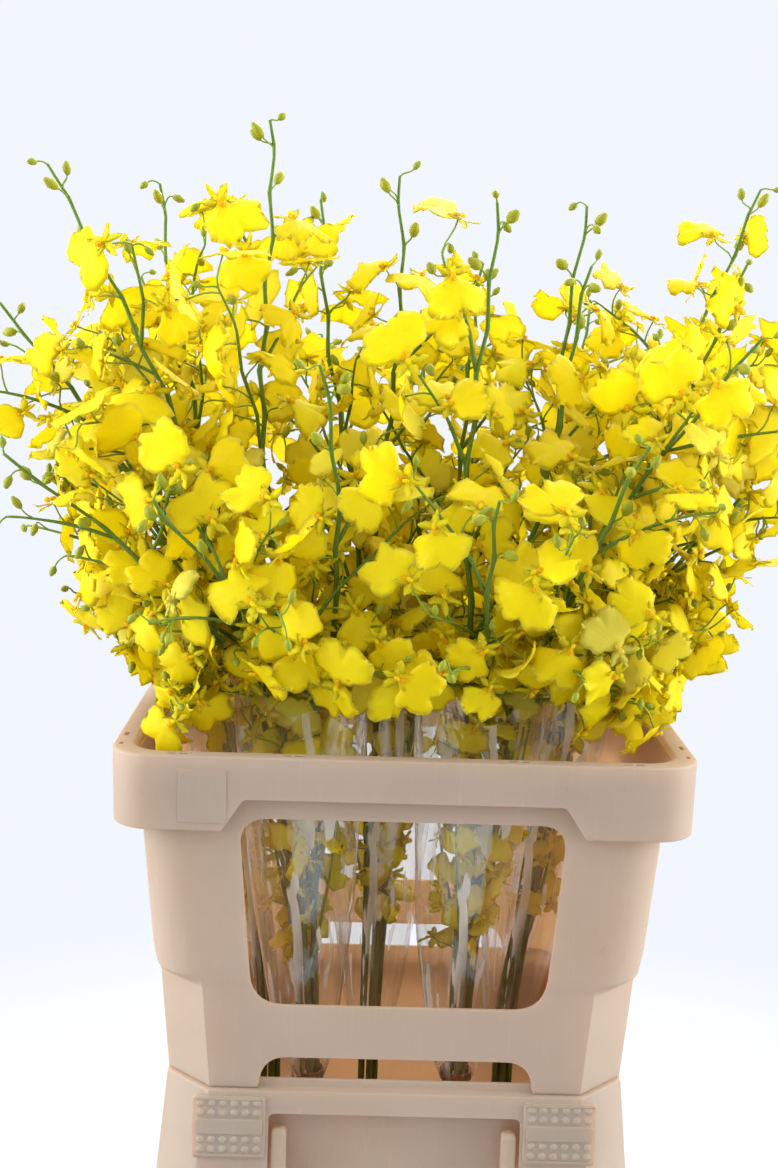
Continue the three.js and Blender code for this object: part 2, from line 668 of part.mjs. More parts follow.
sprays.forEach((spray) => {
  LOW_BLOOMS.forEach(([from, to, size], i) => {
    const low = pathAtHeight(spray.path, between(from, to, 8, spray.number, i));
    growBloom(spray, { ...low, reference: spray.outward }, [spray.number, 50 + i],
      spray.number * 100, size);
  });
});
const mostJoints = Math.max(...sprays.map((spray) => spray.joints.length));
for (let joint = 0; joint < mostJoints; joint++) {
  sprays.filter((spray) => joint < spray.joints.length).forEach((spray) => growJoint(spray, joint));
}

sprays.forEach((spray, i) => {
  addPiece(`spray_${String(i + 1).padStart(2, '0')}`, toGeometry(spray.solid), 0xf2d21c, 0.5);
});

export default object;
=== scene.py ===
# Cut oncidium orchids as they travel to market: five film-sleeved bunches of flower sprays in a
# plastic bucket of water, steadied by a windowed collar that stacks on the bucket's rim.
# Shapes are worked out in millimetres, +Z up, from the centre of the bucket's underside.
import math

import bmesh
import bpy
import numpy as np
from mathutils import Matrix


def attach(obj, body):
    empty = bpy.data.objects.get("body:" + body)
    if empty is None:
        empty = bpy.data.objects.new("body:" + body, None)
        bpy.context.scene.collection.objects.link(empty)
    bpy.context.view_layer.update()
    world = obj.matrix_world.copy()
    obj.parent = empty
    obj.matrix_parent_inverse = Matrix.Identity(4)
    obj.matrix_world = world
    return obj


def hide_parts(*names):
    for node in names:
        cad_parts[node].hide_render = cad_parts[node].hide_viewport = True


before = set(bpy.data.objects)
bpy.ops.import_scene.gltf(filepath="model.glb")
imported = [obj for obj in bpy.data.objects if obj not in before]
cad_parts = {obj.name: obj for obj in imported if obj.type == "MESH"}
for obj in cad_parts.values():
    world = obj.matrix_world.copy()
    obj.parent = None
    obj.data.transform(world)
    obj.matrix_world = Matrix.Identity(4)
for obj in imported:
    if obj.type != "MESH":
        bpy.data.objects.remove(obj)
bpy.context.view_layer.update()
scene = bpy.context.scene

# ---- Camera -------------------------------------------------------------------------------
# A standard lens on a tripod, level with the flowers and tipped a little downwards.
PLACE = (-0.03116, -1.21978, 0.82536)
PITCH, ROLL, YAW = np.radians([8.74, 1.74, -0.85])
LENS, SENSOR = 50.88, 36.0         # millimetres, over the long side of the picture
level = np.array([math.cos(YAW), math.sin(YAW), 0.0])
rising = np.array([-math.sin(YAW) * math.sin(PITCH), math.cos(YAW) * math.sin(PITCH), math.cos(PITCH)])
ahead = np.array([-math.sin(YAW) * math.cos(PITCH), math.cos(YAW) * math.cos(PITCH), -math.sin(PITCH)])
across = level * math.cos(ROLL) + rising * math.sin(ROLL)
upright = rising * math.cos(ROLL) - level * math.sin(ROLL)
camera = bpy.data.objects.new("camera", bpy.data.cameras.new("camera"))
camera.data.lens = LENS
camera.data.sensor_width = SENSOR
camera.matrix_world = Matrix(np.vstack([np.column_stack([across, upright, -ahead, PLACE]),
                                        [0, 0, 0, 1]]).tolist())
scene.collection.objects.link(camera)
scene.camera = camera

# ---- Studio -------------------------------------------------------------------------------
# A pale floor that runs into a pale backdrop, in the even light of large white screens. The
# screens behind and beside the flowers are brighter than the one behind the camera.
PALE = "#F3F6FE"
FLOOR_RADIUS = 14000.0
FLOOR_FADE = (0.35, 1.1)          # metres from the bucket: from lit floor to backdrop
MM = 0.001


def linear(colour):
    """Linear light of an sRGB hex value: c / 12.92 up to 0.04045, above it ((c + 0.055) / 1.055) ** 2.4."""
    c = np.array([int(colour[i:i + 2], 16) for i in (1, 3, 5)]) / 255
    c = np.where(c <= 0.04045, c / 12.92, ((c + 0.055) / 1.055) ** 2.4)
    return (*c, 1.0)


def node(tree, kind, inputs={}, stops=(), **settings):
    """Adds a shader node with its settings. An input takes a node's first live output, a socket
    or a constant; stops are the (place, hex colour) pairs of a colour ramp."""
    made = tree.nodes.new("ShaderNode" + kind)
    for name, value in settings.items():
        setattr(made, name, value)
    for key, value in inputs.items():
        socket = made.inputs[key] if isinstance(key, int) else next(
            s for s in made.inputs if s.name == key and s.enabled)
        if isinstance(value, bpy.types.Node):
            value = next(s for s in value.outputs if s.enabled)
        if isinstance(value, bpy.types.NodeSocket):
            tree.links.new(value, socket)
        else:
            socket.default_value = value
    if stops:
        elements = made.color_ramp.elements
        elements.remove(elements[1])
        for i, (place, colour) in enumerate(stops):
            element = elements[0] if i == 0 else elements.new(place)
            element.position = place
            element.color = linear(colour)
    return made


def blank_material(name):
    """A material with an empty node tree, and that tree."""
    made = bpy.data.materials.new(name)
    made.use_nodes = True
    made.node_tree.nodes.clear()
    return made, made.node_tree


def ring_faces(rings, around, poles=True):
    """Triangles over rings of equally many points. With poles, point 0 closes the first ring and
    the last point closes the last one; without, the last ring joins the first."""
    ring = np.arange(rings if not poles else rings - 1)[:, None]
    column = np.arange(around)[None, :]
    start = 1 if poles else 0
    here = start + ring * around
    after = start + (ring + 1) % rings * around
    a, b = here + column, here + (column + 1) % around
    c, d = after + (column + 1) % around, after + column
    faces = [np.stack([a, b, c], -1).reshape(-1, 3), np.stack([a, c, d], -1).reshape(-1, 3)]
    if poles:
        first = 1 + np.arange(around)
        last = first + (rings - 1) * around
        zero = np.zeros(around, int)
        faces.append(np.stack([zero, np.roll(first, -1), first], -1))
        faces.append(np.stack([zero + rings * around + 1, last, np.roll(last, -1)], -1))
    return np.concatenate(faces).astype(np.int32)


def outwards(points, faces):
    """The faces, turned over if they enclose a negative volume: the sum of a . (b x c) / 6, with
    the corners a, b and c of each face measured from the middle of the points."""
    a, b, c = (points[faces[:, k]] - points.mean(0) for k in range(3))
    return faces if np.einsum("ij,ij->", a, np.cross(b, c)) > 0 else faces[:, ::-1]


def shell(rings, *poles, at=(0, 0, 0)):
    """Points and outward faces of a closed surface over rings (ring, point, 3), moved to a place.
    Two poles close its ends; with none, the last ring joins the first."""
    points = np.vstack([*poles[:1], rings.reshape(-1, 3), *poles[1:]]) + at
    return points, outwards(points, ring_faces(*rings.shape[:2], poles=bool(poles)))


def full_turn(steps):
    """Angles of a full turn in equal steps, from 0."""
    return np.linspace(0, 2 * math.pi, steps, endpoint=False)


def mesh_object(name, points, faces, material, attributes={}, uv=None):
    """A smooth-shaded object at the origin from points in millimetres (n, 3) and point numbers of
    its triangles (m, 3). Attributes and uv hold one value or pair per point."""
    mesh = bpy.data.meshes.new(name)
    faces = np.ascontiguousarray(faces, np.int32)
    mesh.vertices.add(len(points))
    mesh.vertices.foreach_set("co", (np.asarray(points) * MM).astype(np.float32).ravel())
    mesh.loops.add(faces.size)
    mesh.loops.foreach_set("vertex_index", faces.ravel())
    mesh.polygons.add(len(faces))
    mesh.polygons.foreach_set("loop_start", np.arange(0, faces.size, faces.shape[1], dtype=np.int32))
    mesh.update(calc_edges=True)
    mesh.shade_smooth()
    for key, values in attributes.items():
        data = mesh.attributes.new(key, "FLOAT", "POINT").data
        data.foreach_set("value", np.asarray(values, np.float32).ravel())
    if uv is not None:
        data = mesh.uv_layers.new(name="UVMap").data
        data.foreach_set("uv", uv[faces.ravel()].astype(np.float32).ravel())
    mesh.materials.append(material)
    made = bpy.data.objects.new(name, mesh)
    scene.collection.objects.link(made)
    return made


# The floor is matt card; further out it gives the backdrop's own light, so no horizon shows.
card, tree = blank_material("matt card")
spot = node(tree, "TexCoord").outputs["Object"]
fibre = node(tree, "TexNoise", {"Vector": spot, "Scale": 900.0, "Detail": 2.0})
paper = node(tree, "BsdfPrincipled", {"Base Color": linear("#A6A8AD"), "Roughness": 0.8,
             "Normal": node(tree, "Bump", {"Height": fibre, "Strength": 0.1, "Distance": 0.0005})})
glow = node(tree, "Emission", {"Color": linear(PALE), "Strength": 1.0})
away = node(tree, "VectorMath", {0: spot}, operation="LENGTH").outputs["Value"]
far = node(tree, "MapRange", {"Value": away, "From Min": FLOOR_FADE[0], "From Max": FLOOR_FADE[1]},
           interpolation_type="SMOOTHSTEP")
node(tree, "OutputMaterial", {"Surface": node(tree, "MixShader", {0: far, 1: paper, 2: glow})})
radius, angle = np.meshgrid([180.0, 600, 1600, 5000, FLOOR_RADIUS], full_turn(48), indexing="ij")
disc = np.stack([radius * np.cos(angle), radius * np.sin(angle), 0 * radius], -1)
floor = mesh_object("floor", *shell(disc, [0, 0, 0], [0, 0, -40]), card)

studio = bpy.data.worlds.new("studio")
scene.world = studio
studio.use_nodes = True
tree = studio.node_tree
tree.nodes.clear()
# The screens are dim behind the camera and bright behind the flowers, and more light comes from
# both sides and from above. What the camera sees of them is an even pale tone.
toward = node(tree, "SeparateXYZ", {0: node(tree, "TexCoord").outputs["Generated"]})
screens = node(tree, "MapRange", {"Value": toward.outputs["Y"], "From Min": -0.8, "From Max": 0.1,
               "To Min": 0.12, "To Max": 1.15}, interpolation_type="SMOOTHSTEP")
beside = node(tree, "Math", {0: toward.outputs["X"], 1: toward.outputs["X"]}, operation="MULTIPLY")
above = node(tree, "Math", {0: toward.outputs["Z"], 1: 0.0}, operation="MAXIMUM")
screens = node(tree, "Math", {0: beside, 1: 1.5, 2: screens}, operation="MULTIPLY_ADD")
screens = node(tree, "Math", {0: above, 1: 0.8, 2: screens}, operation="MULTIPLY_ADD")
seen = node(tree, "LightPath").outputs["Is Camera Ray"]
strength = node(tree, "Mix", {"Factor": seen, "A": screens, "B": 1.0})
node(tree, "OutputWorld", {"Surface": node(tree, "Background", {"Color": linear(PALE),
                                                                "Strength": strength})})

# The lamps are white screens, and two narrow ones in front draw streaks on the film. Place and
# size are in metres, power in watts, and each screen faces a point on the bucket's axis.
LAMPS = {"key": ((-1.5, -1.1, 2.2), (1.2, 1.2), 8), "rear": ((0.4, 1.5, 1.9), (1.8, 1.8), 45),
         "left": ((-2.0, -0.3, 0.9), (1.6, 1.6), 42), "right": ((2.0, -0.3, 0.9), (1.6, 1.6), 40),
         "strip, left": ((-0.9, -1.6, 1.3), (0.07, 1.3), 1.6),
         "strip, right": ((1.1, -1.5, 1.2), (0.07, 1.3), 1.6)}
LIT_HEIGHT = 0.6
for name, (place, size, power) in LAMPS.items():
    lamp = bpy.data.objects.new(name, bpy.data.lights.new(name, "AREA"))
    lamp.data.shape = "ELLIPSE"
    lamp.data.size, lamp.data.size_y = size
    lamp.data.energy = power
    back = np.array(place) - np.array([0, 0, LIT_HEIGHT])
    back = back / np.linalg.norm(back)
    side = np.cross([0, 0, 1], back)
    side = side / np.linalg.norm(side)
    lamp.matrix_world = Matrix(np.vstack([np.column_stack([side, np.cross(back, side), back, place]),
                                          [0, 0, 0, 1]]).tolist())
    lamp.visible_camera = False
    scene.collection.objects.link(lamp)
scene.view_settings.view_transform = "Standard"
scene.cycles.transparent_max_bounces = 32

# ---- Bucket -------------------------------------------------------------------------------
# The flower bucket: polypropylene, injection moulded, with a skirt round its top that carries
# the collar. Its long sides have a hand grip between two pads that take a label.
CORNER_STEPS = 9
BUCKET_ROWS = [                   # height, half width, half depth, corner, 0 chamfer to 1 round
    [0, 126, 101, 24, 1], [294, 153, 127, 29, .6], [294, 159.2, 134.6, 30, 0],
    [205, 168, 142, 30, .5], [205, 171, 145, 32, .5], [300, 162, 138, 32, 0],
    [300, 157.8, 130.8, 30, 0], [306, 157.2, 130.2, 30, 0], [306, 154.2, 127.4, 28.6, 0],
    [290, 149.8, 123.8, 27, .6], [3, 123, 98, 21, 1]]


def outline(rows):
    """Rings (row, point, 3) of a rectangle whose corners run as a chamfer mixed with a quarter
    circle: corner * (1 - t, t) for the one and corner * (cos, sin)(t * 90 degrees) for the other."""
    z, half_x, half_y, corner, rounded = np.asarray(rows, float).T[:, :, None]
    t = np.linspace(0, 1, CORNER_STEPS + 1)[None]
    u = ((1 - t) * (1 - rounded) + np.cos(t * math.pi / 2) * rounded) * corner
    v = (t * (1 - rounded) + np.sin(t * math.pi / 2) * rounded) * corner
    x, y = half_x - corner, half_y - corner
    ring_x = np.concatenate([x + u, -x - v, -x - u, x + v], 1)
    ring_y = np.concatenate([y + v, y + u, -y - v, -y - u], 1)
    return np.stack([ring_x, ring_y, np.broadcast_to(z, ring_x.shape)], -1)


def parabola(start, bend, end, steps):
    """For each row, points of (1 - t) ** 2 * start + 2 * t * (1 - t) * bend + t ** 2 * end, t from 0 to 1."""
    t = np.linspace(0, 1, steps)[:, None, None]
    points = (1 - t) ** 2 * start + 2 * t * (1 - t) * bend + t ** 2 * end
    return points.swapaxes(0, 1).reshape(-1, start.shape[1])


def softened(rows, radius, closed=False):
    """Rows with each bend of the profile replaced by four rows of a parabola that starts and ends
    at most the radius away from it, and never past 0.4 of the way to its neighbour."""
    rows = np.asarray(rows, float)
    before, after = np.roll(rows, 1, 0), np.roll(rows, -1, 0)
    if not closed:
        before[0], after[-1] = rows[0], rows[-1]
    ends = []
    for other in (before, after):
        gap = np.linalg.norm((other - rows)[:, :2], axis=1)
        ends.append(rows + (other - rows) * np.minimum(radius / np.maximum(gap, 1e-6), 0.4)[:, None])
    return parabola(ends[0], rows, ends[1], 4)


def opening(top, bottom, half_top, half_bottom, top_corner, bottom_corner):
    """Outline (x, z) of a four-sided hole, narrower at one end; each corner is a parabola that
    touches both sides at the corner's size from it."""
    corner = np.array([[-half_bottom, bottom], [half_bottom, bottom], [half_top, top], [-half_top, top]])
    size = np.array([bottom_corner, bottom_corner, top_corner, top_corner])[:, None]
    ends = []
    for shift in (1, -1):
        side = np.roll(corner, shift, 0) - corner
        ends.append(corner + side * size / np.linalg.norm(side, axis=1, keepdims=True))
    return parabola(ends[0], corner, ends[1], 8)


def prism(shape, low, high):
    """A bar along Y with that outline (x, z), from y = low to y = high, as points and faces."""
    x, z = shape.mean(0)
    rings = np.stack([np.insert(shape, 1, low, 1), np.insert(shape, 1, high, 1)])
    return shell(rings, [x, low, z], [x, high, z])


def joined(parts):
    """One set of points and faces from several."""
    offsets = np.cumsum([0] + [len(points) for points, _ in parts[:-1]])
    return (np.concatenate([points for points, _ in parts]),
            np.concatenate([faces + offset for (_, faces), offset in zip(parts, offsets)]))


def carved(body, *groups):
    """Takes each group's volumes out of the body, then merges its coplanar triangles."""
    tools = [mesh_object("cutter", *joined(group), body.data.materials[0]) for group in groups]
    for tool in tools:
        cut = body.modifiers.new("cut", "BOOLEAN")
        cut.object = tool
        cut.solver = "EXACT"
    bpy.context.view_layer.update()
    result = bpy.data.meshes.new_from_object(body.evaluated_get(bpy.context.evaluated_depsgraph_get()))
    body.modifiers.clear()
    body.data = result
    for tool in tools:
        bpy.data.objects.remove(tool)
    work = bmesh.new()
    work.from_mesh(result)
    bmesh.ops.remove_doubles(work, verts=work.verts, dist=1e-5)
    bmesh.ops.dissolve_limit(work, angle_limit=math.radians(0.4), verts=work.verts, edges=work.edges)
    work.to_mesh(result)
    work.free()


def rounded_edges(body, width):
    """Rounds every edge sharper than 32 degrees and shades the flats as flat."""
    bevel = body.modifiers.new("rounded edges", "BEVEL")
    bevel.width = width * MM
    bevel.segments = 2
    bevel.limit_method = "ANGLE"
    bevel.angle_limit = math.radians(32)
    bevel.miter_outer = "MITER_ARC"
    bevel.use_clamp_overlap = True
    even = body.modifiers.new("even shading", "WEIGHTED_NORMAL")
    even.keep_sharp = False
    even.weight = 80


def polypropylene(name, fresh, worn, grime):
    """Matt moulded polypropylene: a fine spark-eroded skin, cloudy colour, rubbed pale streaks and
    grime that gathers in patches."""
    made, tree = blank_material(name)
    at = node(tree, "TexCoord").outputs["Object"]
    # Flow clouds about 120 mm across, and specks of handling dirt of 6 mm.
    clouds = node(tree, "TexNoise", {"Vector": at, "Scale": 8.0, "Detail": 4.0, "Roughness": 0.6})
    specks = node(tree, "TexNoise", {"Vector": at, "Scale": 170.0, "Detail": 5.0, "Roughness": 0.7})
    # Rub marks run down the walls: 2 mm wide and 60 mm long.
    rubs = node(tree, "TexNoise", {"Vector": node(tree, "Mapping", {"Vector": at, "Scale": (480, 480, 16)}),
                "Scale": 1.0, "Detail": 3.0, "Distortion": 0.6})
    clouded = node(tree, "MapRange", {"Value": clouds, "From Min": 0.35, "From Max": 0.68})
    rubbed = node(tree, "MapRange", {"Value": rubs, "From Min": 0.6, "From Max": 0.78, "To Max": 0.22})
    gathered = node(tree, "MapRange", {"Value": clouds, "From Min": 0.45, "From Max": 0.65,
                    "To Min": 0.05, "To Max": 0.5})
    speckled = node(tree, "MapRange", {"Value": specks, "From Min": 0.6, "From Max": 0.75})
    dirty = node(tree, "Math", {0: speckled, 1: gathered}, operation="MULTIPLY")
    colour = linear(fresh)
    for share, layer in ((clouded, worn), (rubbed, "#F3E9DF"), (dirty, grime)):
        colour = node(tree, "Mix", {"Factor": share, "A": colour, "B": linear(layer)}, data_type="RGBA")
    # The skin's grain is 0.15 mm in life; it is drawn at 0.9 mm so that it shows.
    grain = node(tree, "TexNoise", {"Vector": at, "Scale": 1100.0, "Detail": 2.0})
    waves = node(tree, "TexNoise", {"Vector": at, "Scale": 30.0, "Detail": 2.0})
    fine = node(tree, "Math", {0: grain, 1: 0.12}, operation="MULTIPLY")
    relief = node(tree, "Math", {0: fine, 1: waves}, operation="ADD")
    skin = node(tree, "Bump", {"Height": relief, "Strength": 0.22, "Distance": 0.0012})
    solid = node(tree, "BsdfPrincipled", {"Base Color": colour, "IOR": 1.49, "Normal": skin,
                 "Roughness": node(tree, "MapRange", {"Value": specks, "To Min": 0.36, "To Max": 0.56})})
    # Daylight that comes through the 3 mm wall arrives orange-brown.
    through = node(tree, "BsdfTranslucent", {"Color": linear("#F2CDA8"), "Normal": skin})
    node(tree, "OutputMaterial", {"Surface": node(tree, "MixShader", {0: 0.5, 1: solid, 2: through})})
    return made


bucket_plastic = polypropylene("polypropylene, bucket", "#C1BEAF", "#BAB4A3", "#8A7562")
rings = outline(softened(BUCKET_ROWS, 1.6))
bucket = mesh_object("bucket", *shell(rings, [0, 0, 0], [0, 0, 3]), bucket_plastic)
grip = opening(284, 200, 88, 88, 5, 0.4)
carved(bucket, [prism(grip, -160, -132), prism(grip, 132, 160)])
rounded_edges(bucket, 1.1)
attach(bucket, "root")
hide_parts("bucket")

# Pads for labels, moulded on the skirt beside each grip: a shallow slab with two rows of round
# pimples above and below a bare raised plate. Posts stand at both ends of the grip's recess.
PAD_X, PAD_Z, PAD_HALF = 115.5, 274.0, (25.5, 22.0)
DOT_ROWS, DOT_STEP, DOT_RADIUS, DOT_HEIGHT = (17.0, 10.2, -9.0, -15.8), 7.9, 2.9, 1.3
POST_X, POST_FOOT, POST_TOP = 80.5, 205, 271.5
POST_OUT, POST_LEAN = 132.0, 0.055     # a post's y at 300 mm up, and how it leans out below
SKIRT_OUT, SKIRT_LEAN = 138, 7 / 95    # the same of the skirt's face


def on_skirt(points, side):
    """Puts points (x, height, out) on the skirt's leaning face, at y = 138 + lean * (300 - z) + out."""
    x, z, out = points.T
    return np.stack([x, side * (SKIRT_OUT + SKIRT_LEAN * (300 - z) + out), z], -1)


def slab(x, z, half_x, half_z, corner, low, high, soft):
    """A flat block (x, height, out) with rounded corners, whose top edge is a parabola of size soft."""
    rings = outline(softened([[low, half_x, half_z, corner, 1], [high, half_x, half_z, corner, 1],
                              [high, half_x - 3 * soft, half_z - 3 * soft, max(corner - 2 * soft, 0.2), 1]],
                             soft))
    return shell(rings, [0, 0, low], [0, 0, high], at=(x, z, 0))


def dome(x, z, radius, height, low):
    """A shallow cap of a sphere: height * (1 - (r / radius) ** 2) above the ground it stands on,
    which its foot goes 0.6 mm into."""
    part, sunk = np.array([[1.0, 1.0, 0.75, 0.45], [0.6, 0, 0, 0]])[:, :, None]
    angle = full_turn(10)[None]
    up = low + height * (1 - part ** 2) - sunk
    rings = np.stack([radius * part * np.cos(angle), radius * part * np.sin(angle), up + 0 * angle], -1)
    return shell(rings, [0, 0, low - 0.6], [0, 0, low + height], at=(x, z, 0))


pad_parts = []
for side in (-1, 1):
    flat_parts = []
    # A pad is a slab, its bare plate, a rib along its foot and its head, and the pimples.
    for centre in (-PAD_X, PAD_X):
        flat_parts += [slab(centre, PAD_Z, *PAD_HALF, 3.0, -1.5, 1.3, 0.5),
                       slab(centre, PAD_Z + 0.6, 23.6, 5.4, 2.4, 1.0, 2.1, 0.4)]
        flat_parts += [slab(centre, PAD_Z + edge, PAD_HALF[0] - 1.2, 0.7, 0.5, 1.0, 1.8, 0.2)
                       for edge in (-PAD_HALF[1] + 2.0, PAD_HALF[1] - 2.0)]
        flat_parts += [dome(centre + DOT_STEP * (column - 2.5), PAD_Z + row, DOT_RADIUS, DOT_HEIGHT, 1.25)
                       for row in DOT_ROWS for column in range(6)]
    for points, faces in flat_parts:
        placed = on_skirt(points, side)
        pad_parts.append((placed, outwards(placed, faces)))
    for x in (-POST_X, POST_X):
        post = outline(softened([[POST_FOOT, 5.2, 6.5, 2, 1], [POST_TOP - 2.5, 5.2, 5.2, 2, 1],
                                 [POST_TOP, 3.5, 3.5, 1.5, 1]], 1))
        points, faces = shell(post, [0, 0, POST_FOOT], [0, 0, POST_TOP], at=(x, 0, 0))
        points[:, 1] += side * (POST_OUT + POST_LEAN * (300 - points[:, 2]))
        pad_parts.append((points, faces))
pads = mesh_object("bucket_pads", *joined(pad_parts), bucket_plastic)
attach(pads, "root")

# ---- Collar -------------------------------------------------------------------------------
# The stacking collar: polypropylene, injection moulded, with a doubled rim, a large window in
# each long side and an arch under it, so that air and a hand can reach the stems.
RIM = 541.3                       # top of the collar
COLLAR_ROWS = [
    [300.3, 161.5, 134.5, 32, 0], [RIM - 166, 167.4, 137.2, 32, 0], [RIM - 159, 170, 138.4, 33, 1],
    [RIM - 143, 173, 139, 34, 1], [RIM - 68, 180, 140, 34, 1], [RIM - 5, 183, 140.5, 34, 1],
    [RIM - 5, 196.8, 146.8, 27, 1], [RIM - 52, 196, 146, 26, 1], [RIM - 52, 199, 149, 29, 1],
    [RIM, 200, 150, 30, 1], [RIM, 186, 136, 24, 1], [RIM - 68, 177, 136, 31, 1],
    [RIM - 143, 170, 135.6, 31, 1], [RIM - 159, 167, 135, 30, 1], [RIM - 166, 164, 134, 30.2, 0],
    [300.3, 158.5, 131.5, 30.2, 0]]
collar_plastic = polypropylene("polypropylene, collar", "#C5C0B1", "#BEB8A7", "#917C69")
collar = mesh_object("collar", *shell(outline(softened(COLLAR_ROWS, 2.0, True))), collar_plastic)
window = opening(RIM - 45, RIM - 179, 112, 101, 20, 22)
foot = opening(323.8, 290, 92, 98, 16, 0.4)
skirt_step = opening(RIM - 29.4, RIM - 60, 108.5, 128.5, 3, 0.4)
SLOTS = [(x * sign_x, y * sign_y, half_x, half_y)
         for x, y, half_x, half_y in ((-194.5, -93, 1.4, 5), (-194.5, -119, 1.4, 3), (-157.5, -142.5, 3, 1.4),
                                      (-149.5, -142.5, 3, 1.4), (-80, -142.5, 3, 1.4), (-72, -142.5, 3, 1.4))
         for sign_x in (1, -1) for sign_y in (1, -1)]
SLOT_FLOOR = RIM - 1.6


def in_slots(profile):
    """A body in each slot of the rim, from the rows that the profile gives for its half sizes."""
    bodies = []
    for x, y, half_x, half_y in SLOTS:
        rows = profile(half_x, half_y)
        bodies.append(shell(outline(rows), [0, 0, rows[0][0]], [0, 0, rows[-1][0]], at=(x, y, 0)))
    return bodies


slot_cuts = in_slots(lambda half_x, half_y: [[SLOT_FLOOR, half_x, half_y, 0.8, 1],
                                             [RIM + 3, half_x, half_y, 0.8, 1]])
carved(collar, [prism(window, -170, 170), prism(foot, -170, 170)],
       [prism(skirt_step, -160, -142.6), prism(skirt_step, 142.6, 160), *slot_cuts])
rounded_edges(collar, 1.3)
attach(collar, "root")
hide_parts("collar")

# Raised bare plates on the rim's skirt, one at the left of each long side.
plate_parts = []
for side in (-1, 1):
    points, faces = slab(side * 136, RIM - 27.5, 16, 18.5, 1.5, -0.6, 0.5, 0.15)
    x, z, out = points.T
    placed = np.stack([x, side * (149 + (z - RIM + 52) / 52 + out), z], -1)
    plate_parts.append((placed, outwards(placed, faces)))
plates = mesh_object("collar_plates", *joined(plate_parts), collar_plastic)
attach(plates, "root")

# Brown rubber pips pressed into the slots of the rim, which keep a stacked tray from sliding.
rubber, tree = blank_material("natural rubber")
at = node(tree, "TexCoord").outputs["Object"]
bloomed = node(tree, "TexNoise", {"Vector": at, "Scale": 260.0, "Detail": 4.0})
node(tree, "OutputMaterial", {"Surface": node(tree, "BsdfPrincipled", {
    "Base Color": node(tree, "ValToRGB", {0: bloomed}, stops=((0.3, "#7A4A26"), (0.7, "#A56D3C"))),
    "Roughness": 0.62, "IOR": 1.52,
    "Normal": node(tree, "Bump", {"Height": bloomed, "Strength": 0.3, "Distance": 0.0004})})})
rim_pips = mesh_object("collar_pips", *joined(in_slots(lambda half_x, half_y: softened([
    [SLOT_FLOOR, half_x - .1, half_y - .1, .7, 1], [RIM - 0.3, half_x - .1, half_y - .1, .7, 1],
    [RIM - 0.3, half_x - .8, half_y - .8, .3, 1]], 0.3))), rubber)
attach(rim_pips, "root")

# ---- Water --------------------------------------------------------------------------------
# A hand's breadth of clear water for the cut stems, faintly clouded by sap.
water, tree = blank_material("water")
ripple = node(tree, "TexNoise", {"Vector": node(tree, "TexCoord").outputs["Object"], "Scale": 60.0,
              "Detail": 1.0})
node(tree, "OutputMaterial", {"Surface": node(tree, "BsdfPrincipled", {
    "Base Color": linear("#E6F0E4"), "IOR": 1.333, "Roughness": 0.02, "Transmission Weight": 1.0,
    "Normal": node(tree, "Bump", {"Height": ripple, "Strength": 0.05, "Distance": 0.002})})})
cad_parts["water"].material_slots[0].material = water

# ---- Ties ---------------------------------------------------------------------------------
# A rubber band, 2 mm thick, wound four times round each bunch where its stems and its sleeve
# are gathered. The turns lie unevenly beside one another.
BUNCHES = {                       # foot in the bucket, mouth of the sleeve, tips of the sprays
    "back_left": ((-98, 38), (-126, 52),
                  [(-188, 40, 939), (-312, -10, 845), (-215, 140, 872), (-264, 24, 716), (-246, 104, 770)]),
    "front_left": ((-64, -42), (-76, -58),
                   [(-254, -60, 940), (-113, -20, 980), (-283, -112, 743), (-168, -188, 722),
                    (-64, -178, 812)]),
    "mid_back": ((-18, 36), (-10, 56),
                 [(-73, 62, 932), (-14, 24, 948), (18, 186, 842), (62, 106, 890), (-82, 182, 830)]),
    "front_right": ((48, -38), (54, -58),
                    [(45, -92, 923), (226, -124, 836), (46, -202, 730), (154, -180, 766), (128, -58, 884)]),
    "back_right": ((92, 42), (120, 54),
                   [(121, 12, 930), (262, 80, 951), (235, -26, 889), (290, 0, 764), (158, 174, 860),
                    (282, 92, 712)]),
}
KNOT, MOUTH = 270.0, 560.0        # heights of the tie and of the sleeve's upper edge
TIE_RADIUS, TIE_TURNS = 11.1, 4
for name, (foot_at, _, _) in BUNCHES.items():
    bands = []
    for turn in range(TIE_TURNS):
        along, round_ = np.meshgrid(full_turn(32), full_turn(6), indexing="ij")
        out = TIE_RADIUS + 0.12 * np.sin(3 * along + turn) + 0.95 * np.cos(round_)
        up = KNOT - 3 + 2 * turn + 0.5 * np.sin(along + 2 * turn) + 1.05 * np.sin(round_)
        band = np.stack([foot_at[0] + out * np.cos(along), foot_at[1] + out * np.sin(along), up], -1)
        bands.append(shell(band))
    tie = mesh_object("rubber_tie_" + name, *joined(bands), rubber)
    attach(tie, "root")
    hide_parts("tie_" + name)

# ---- Sleeves ------------------------------------------------------------------------------
# Cone sleeves of clear polypropylene film, gathered in at the tie. The film is 0.04 mm thick in
# life and 0.15 mm as drawn; it creases lengthwise and stands up in uneven flaps above the collar.
FILM_ROWS, FILM_COLUMNS, FILM_WALL = 30, 88, 0.15
FLAP = 42.0                        # height of the flaps along the film's edge


def rise(z):
    """0 at the tie to 1 at the sleeve's mouth, and on to 1.1 in the flaps above it."""
    return np.clip((z - KNOT) / (MOUTH - KNOT), 0, 1.1)


def film_radius(z):
    """14.8 mm at the tie, growing with the 0.6th power of the rise to 55 mm at the mouth."""
    return 14.8 + 40.2 * rise(z) ** 0.6


def zigzag(t):
    """A wave of straight ramps from 1 down to 0 and up again, with period 2."""
    return np.abs(t % 2 - 1)


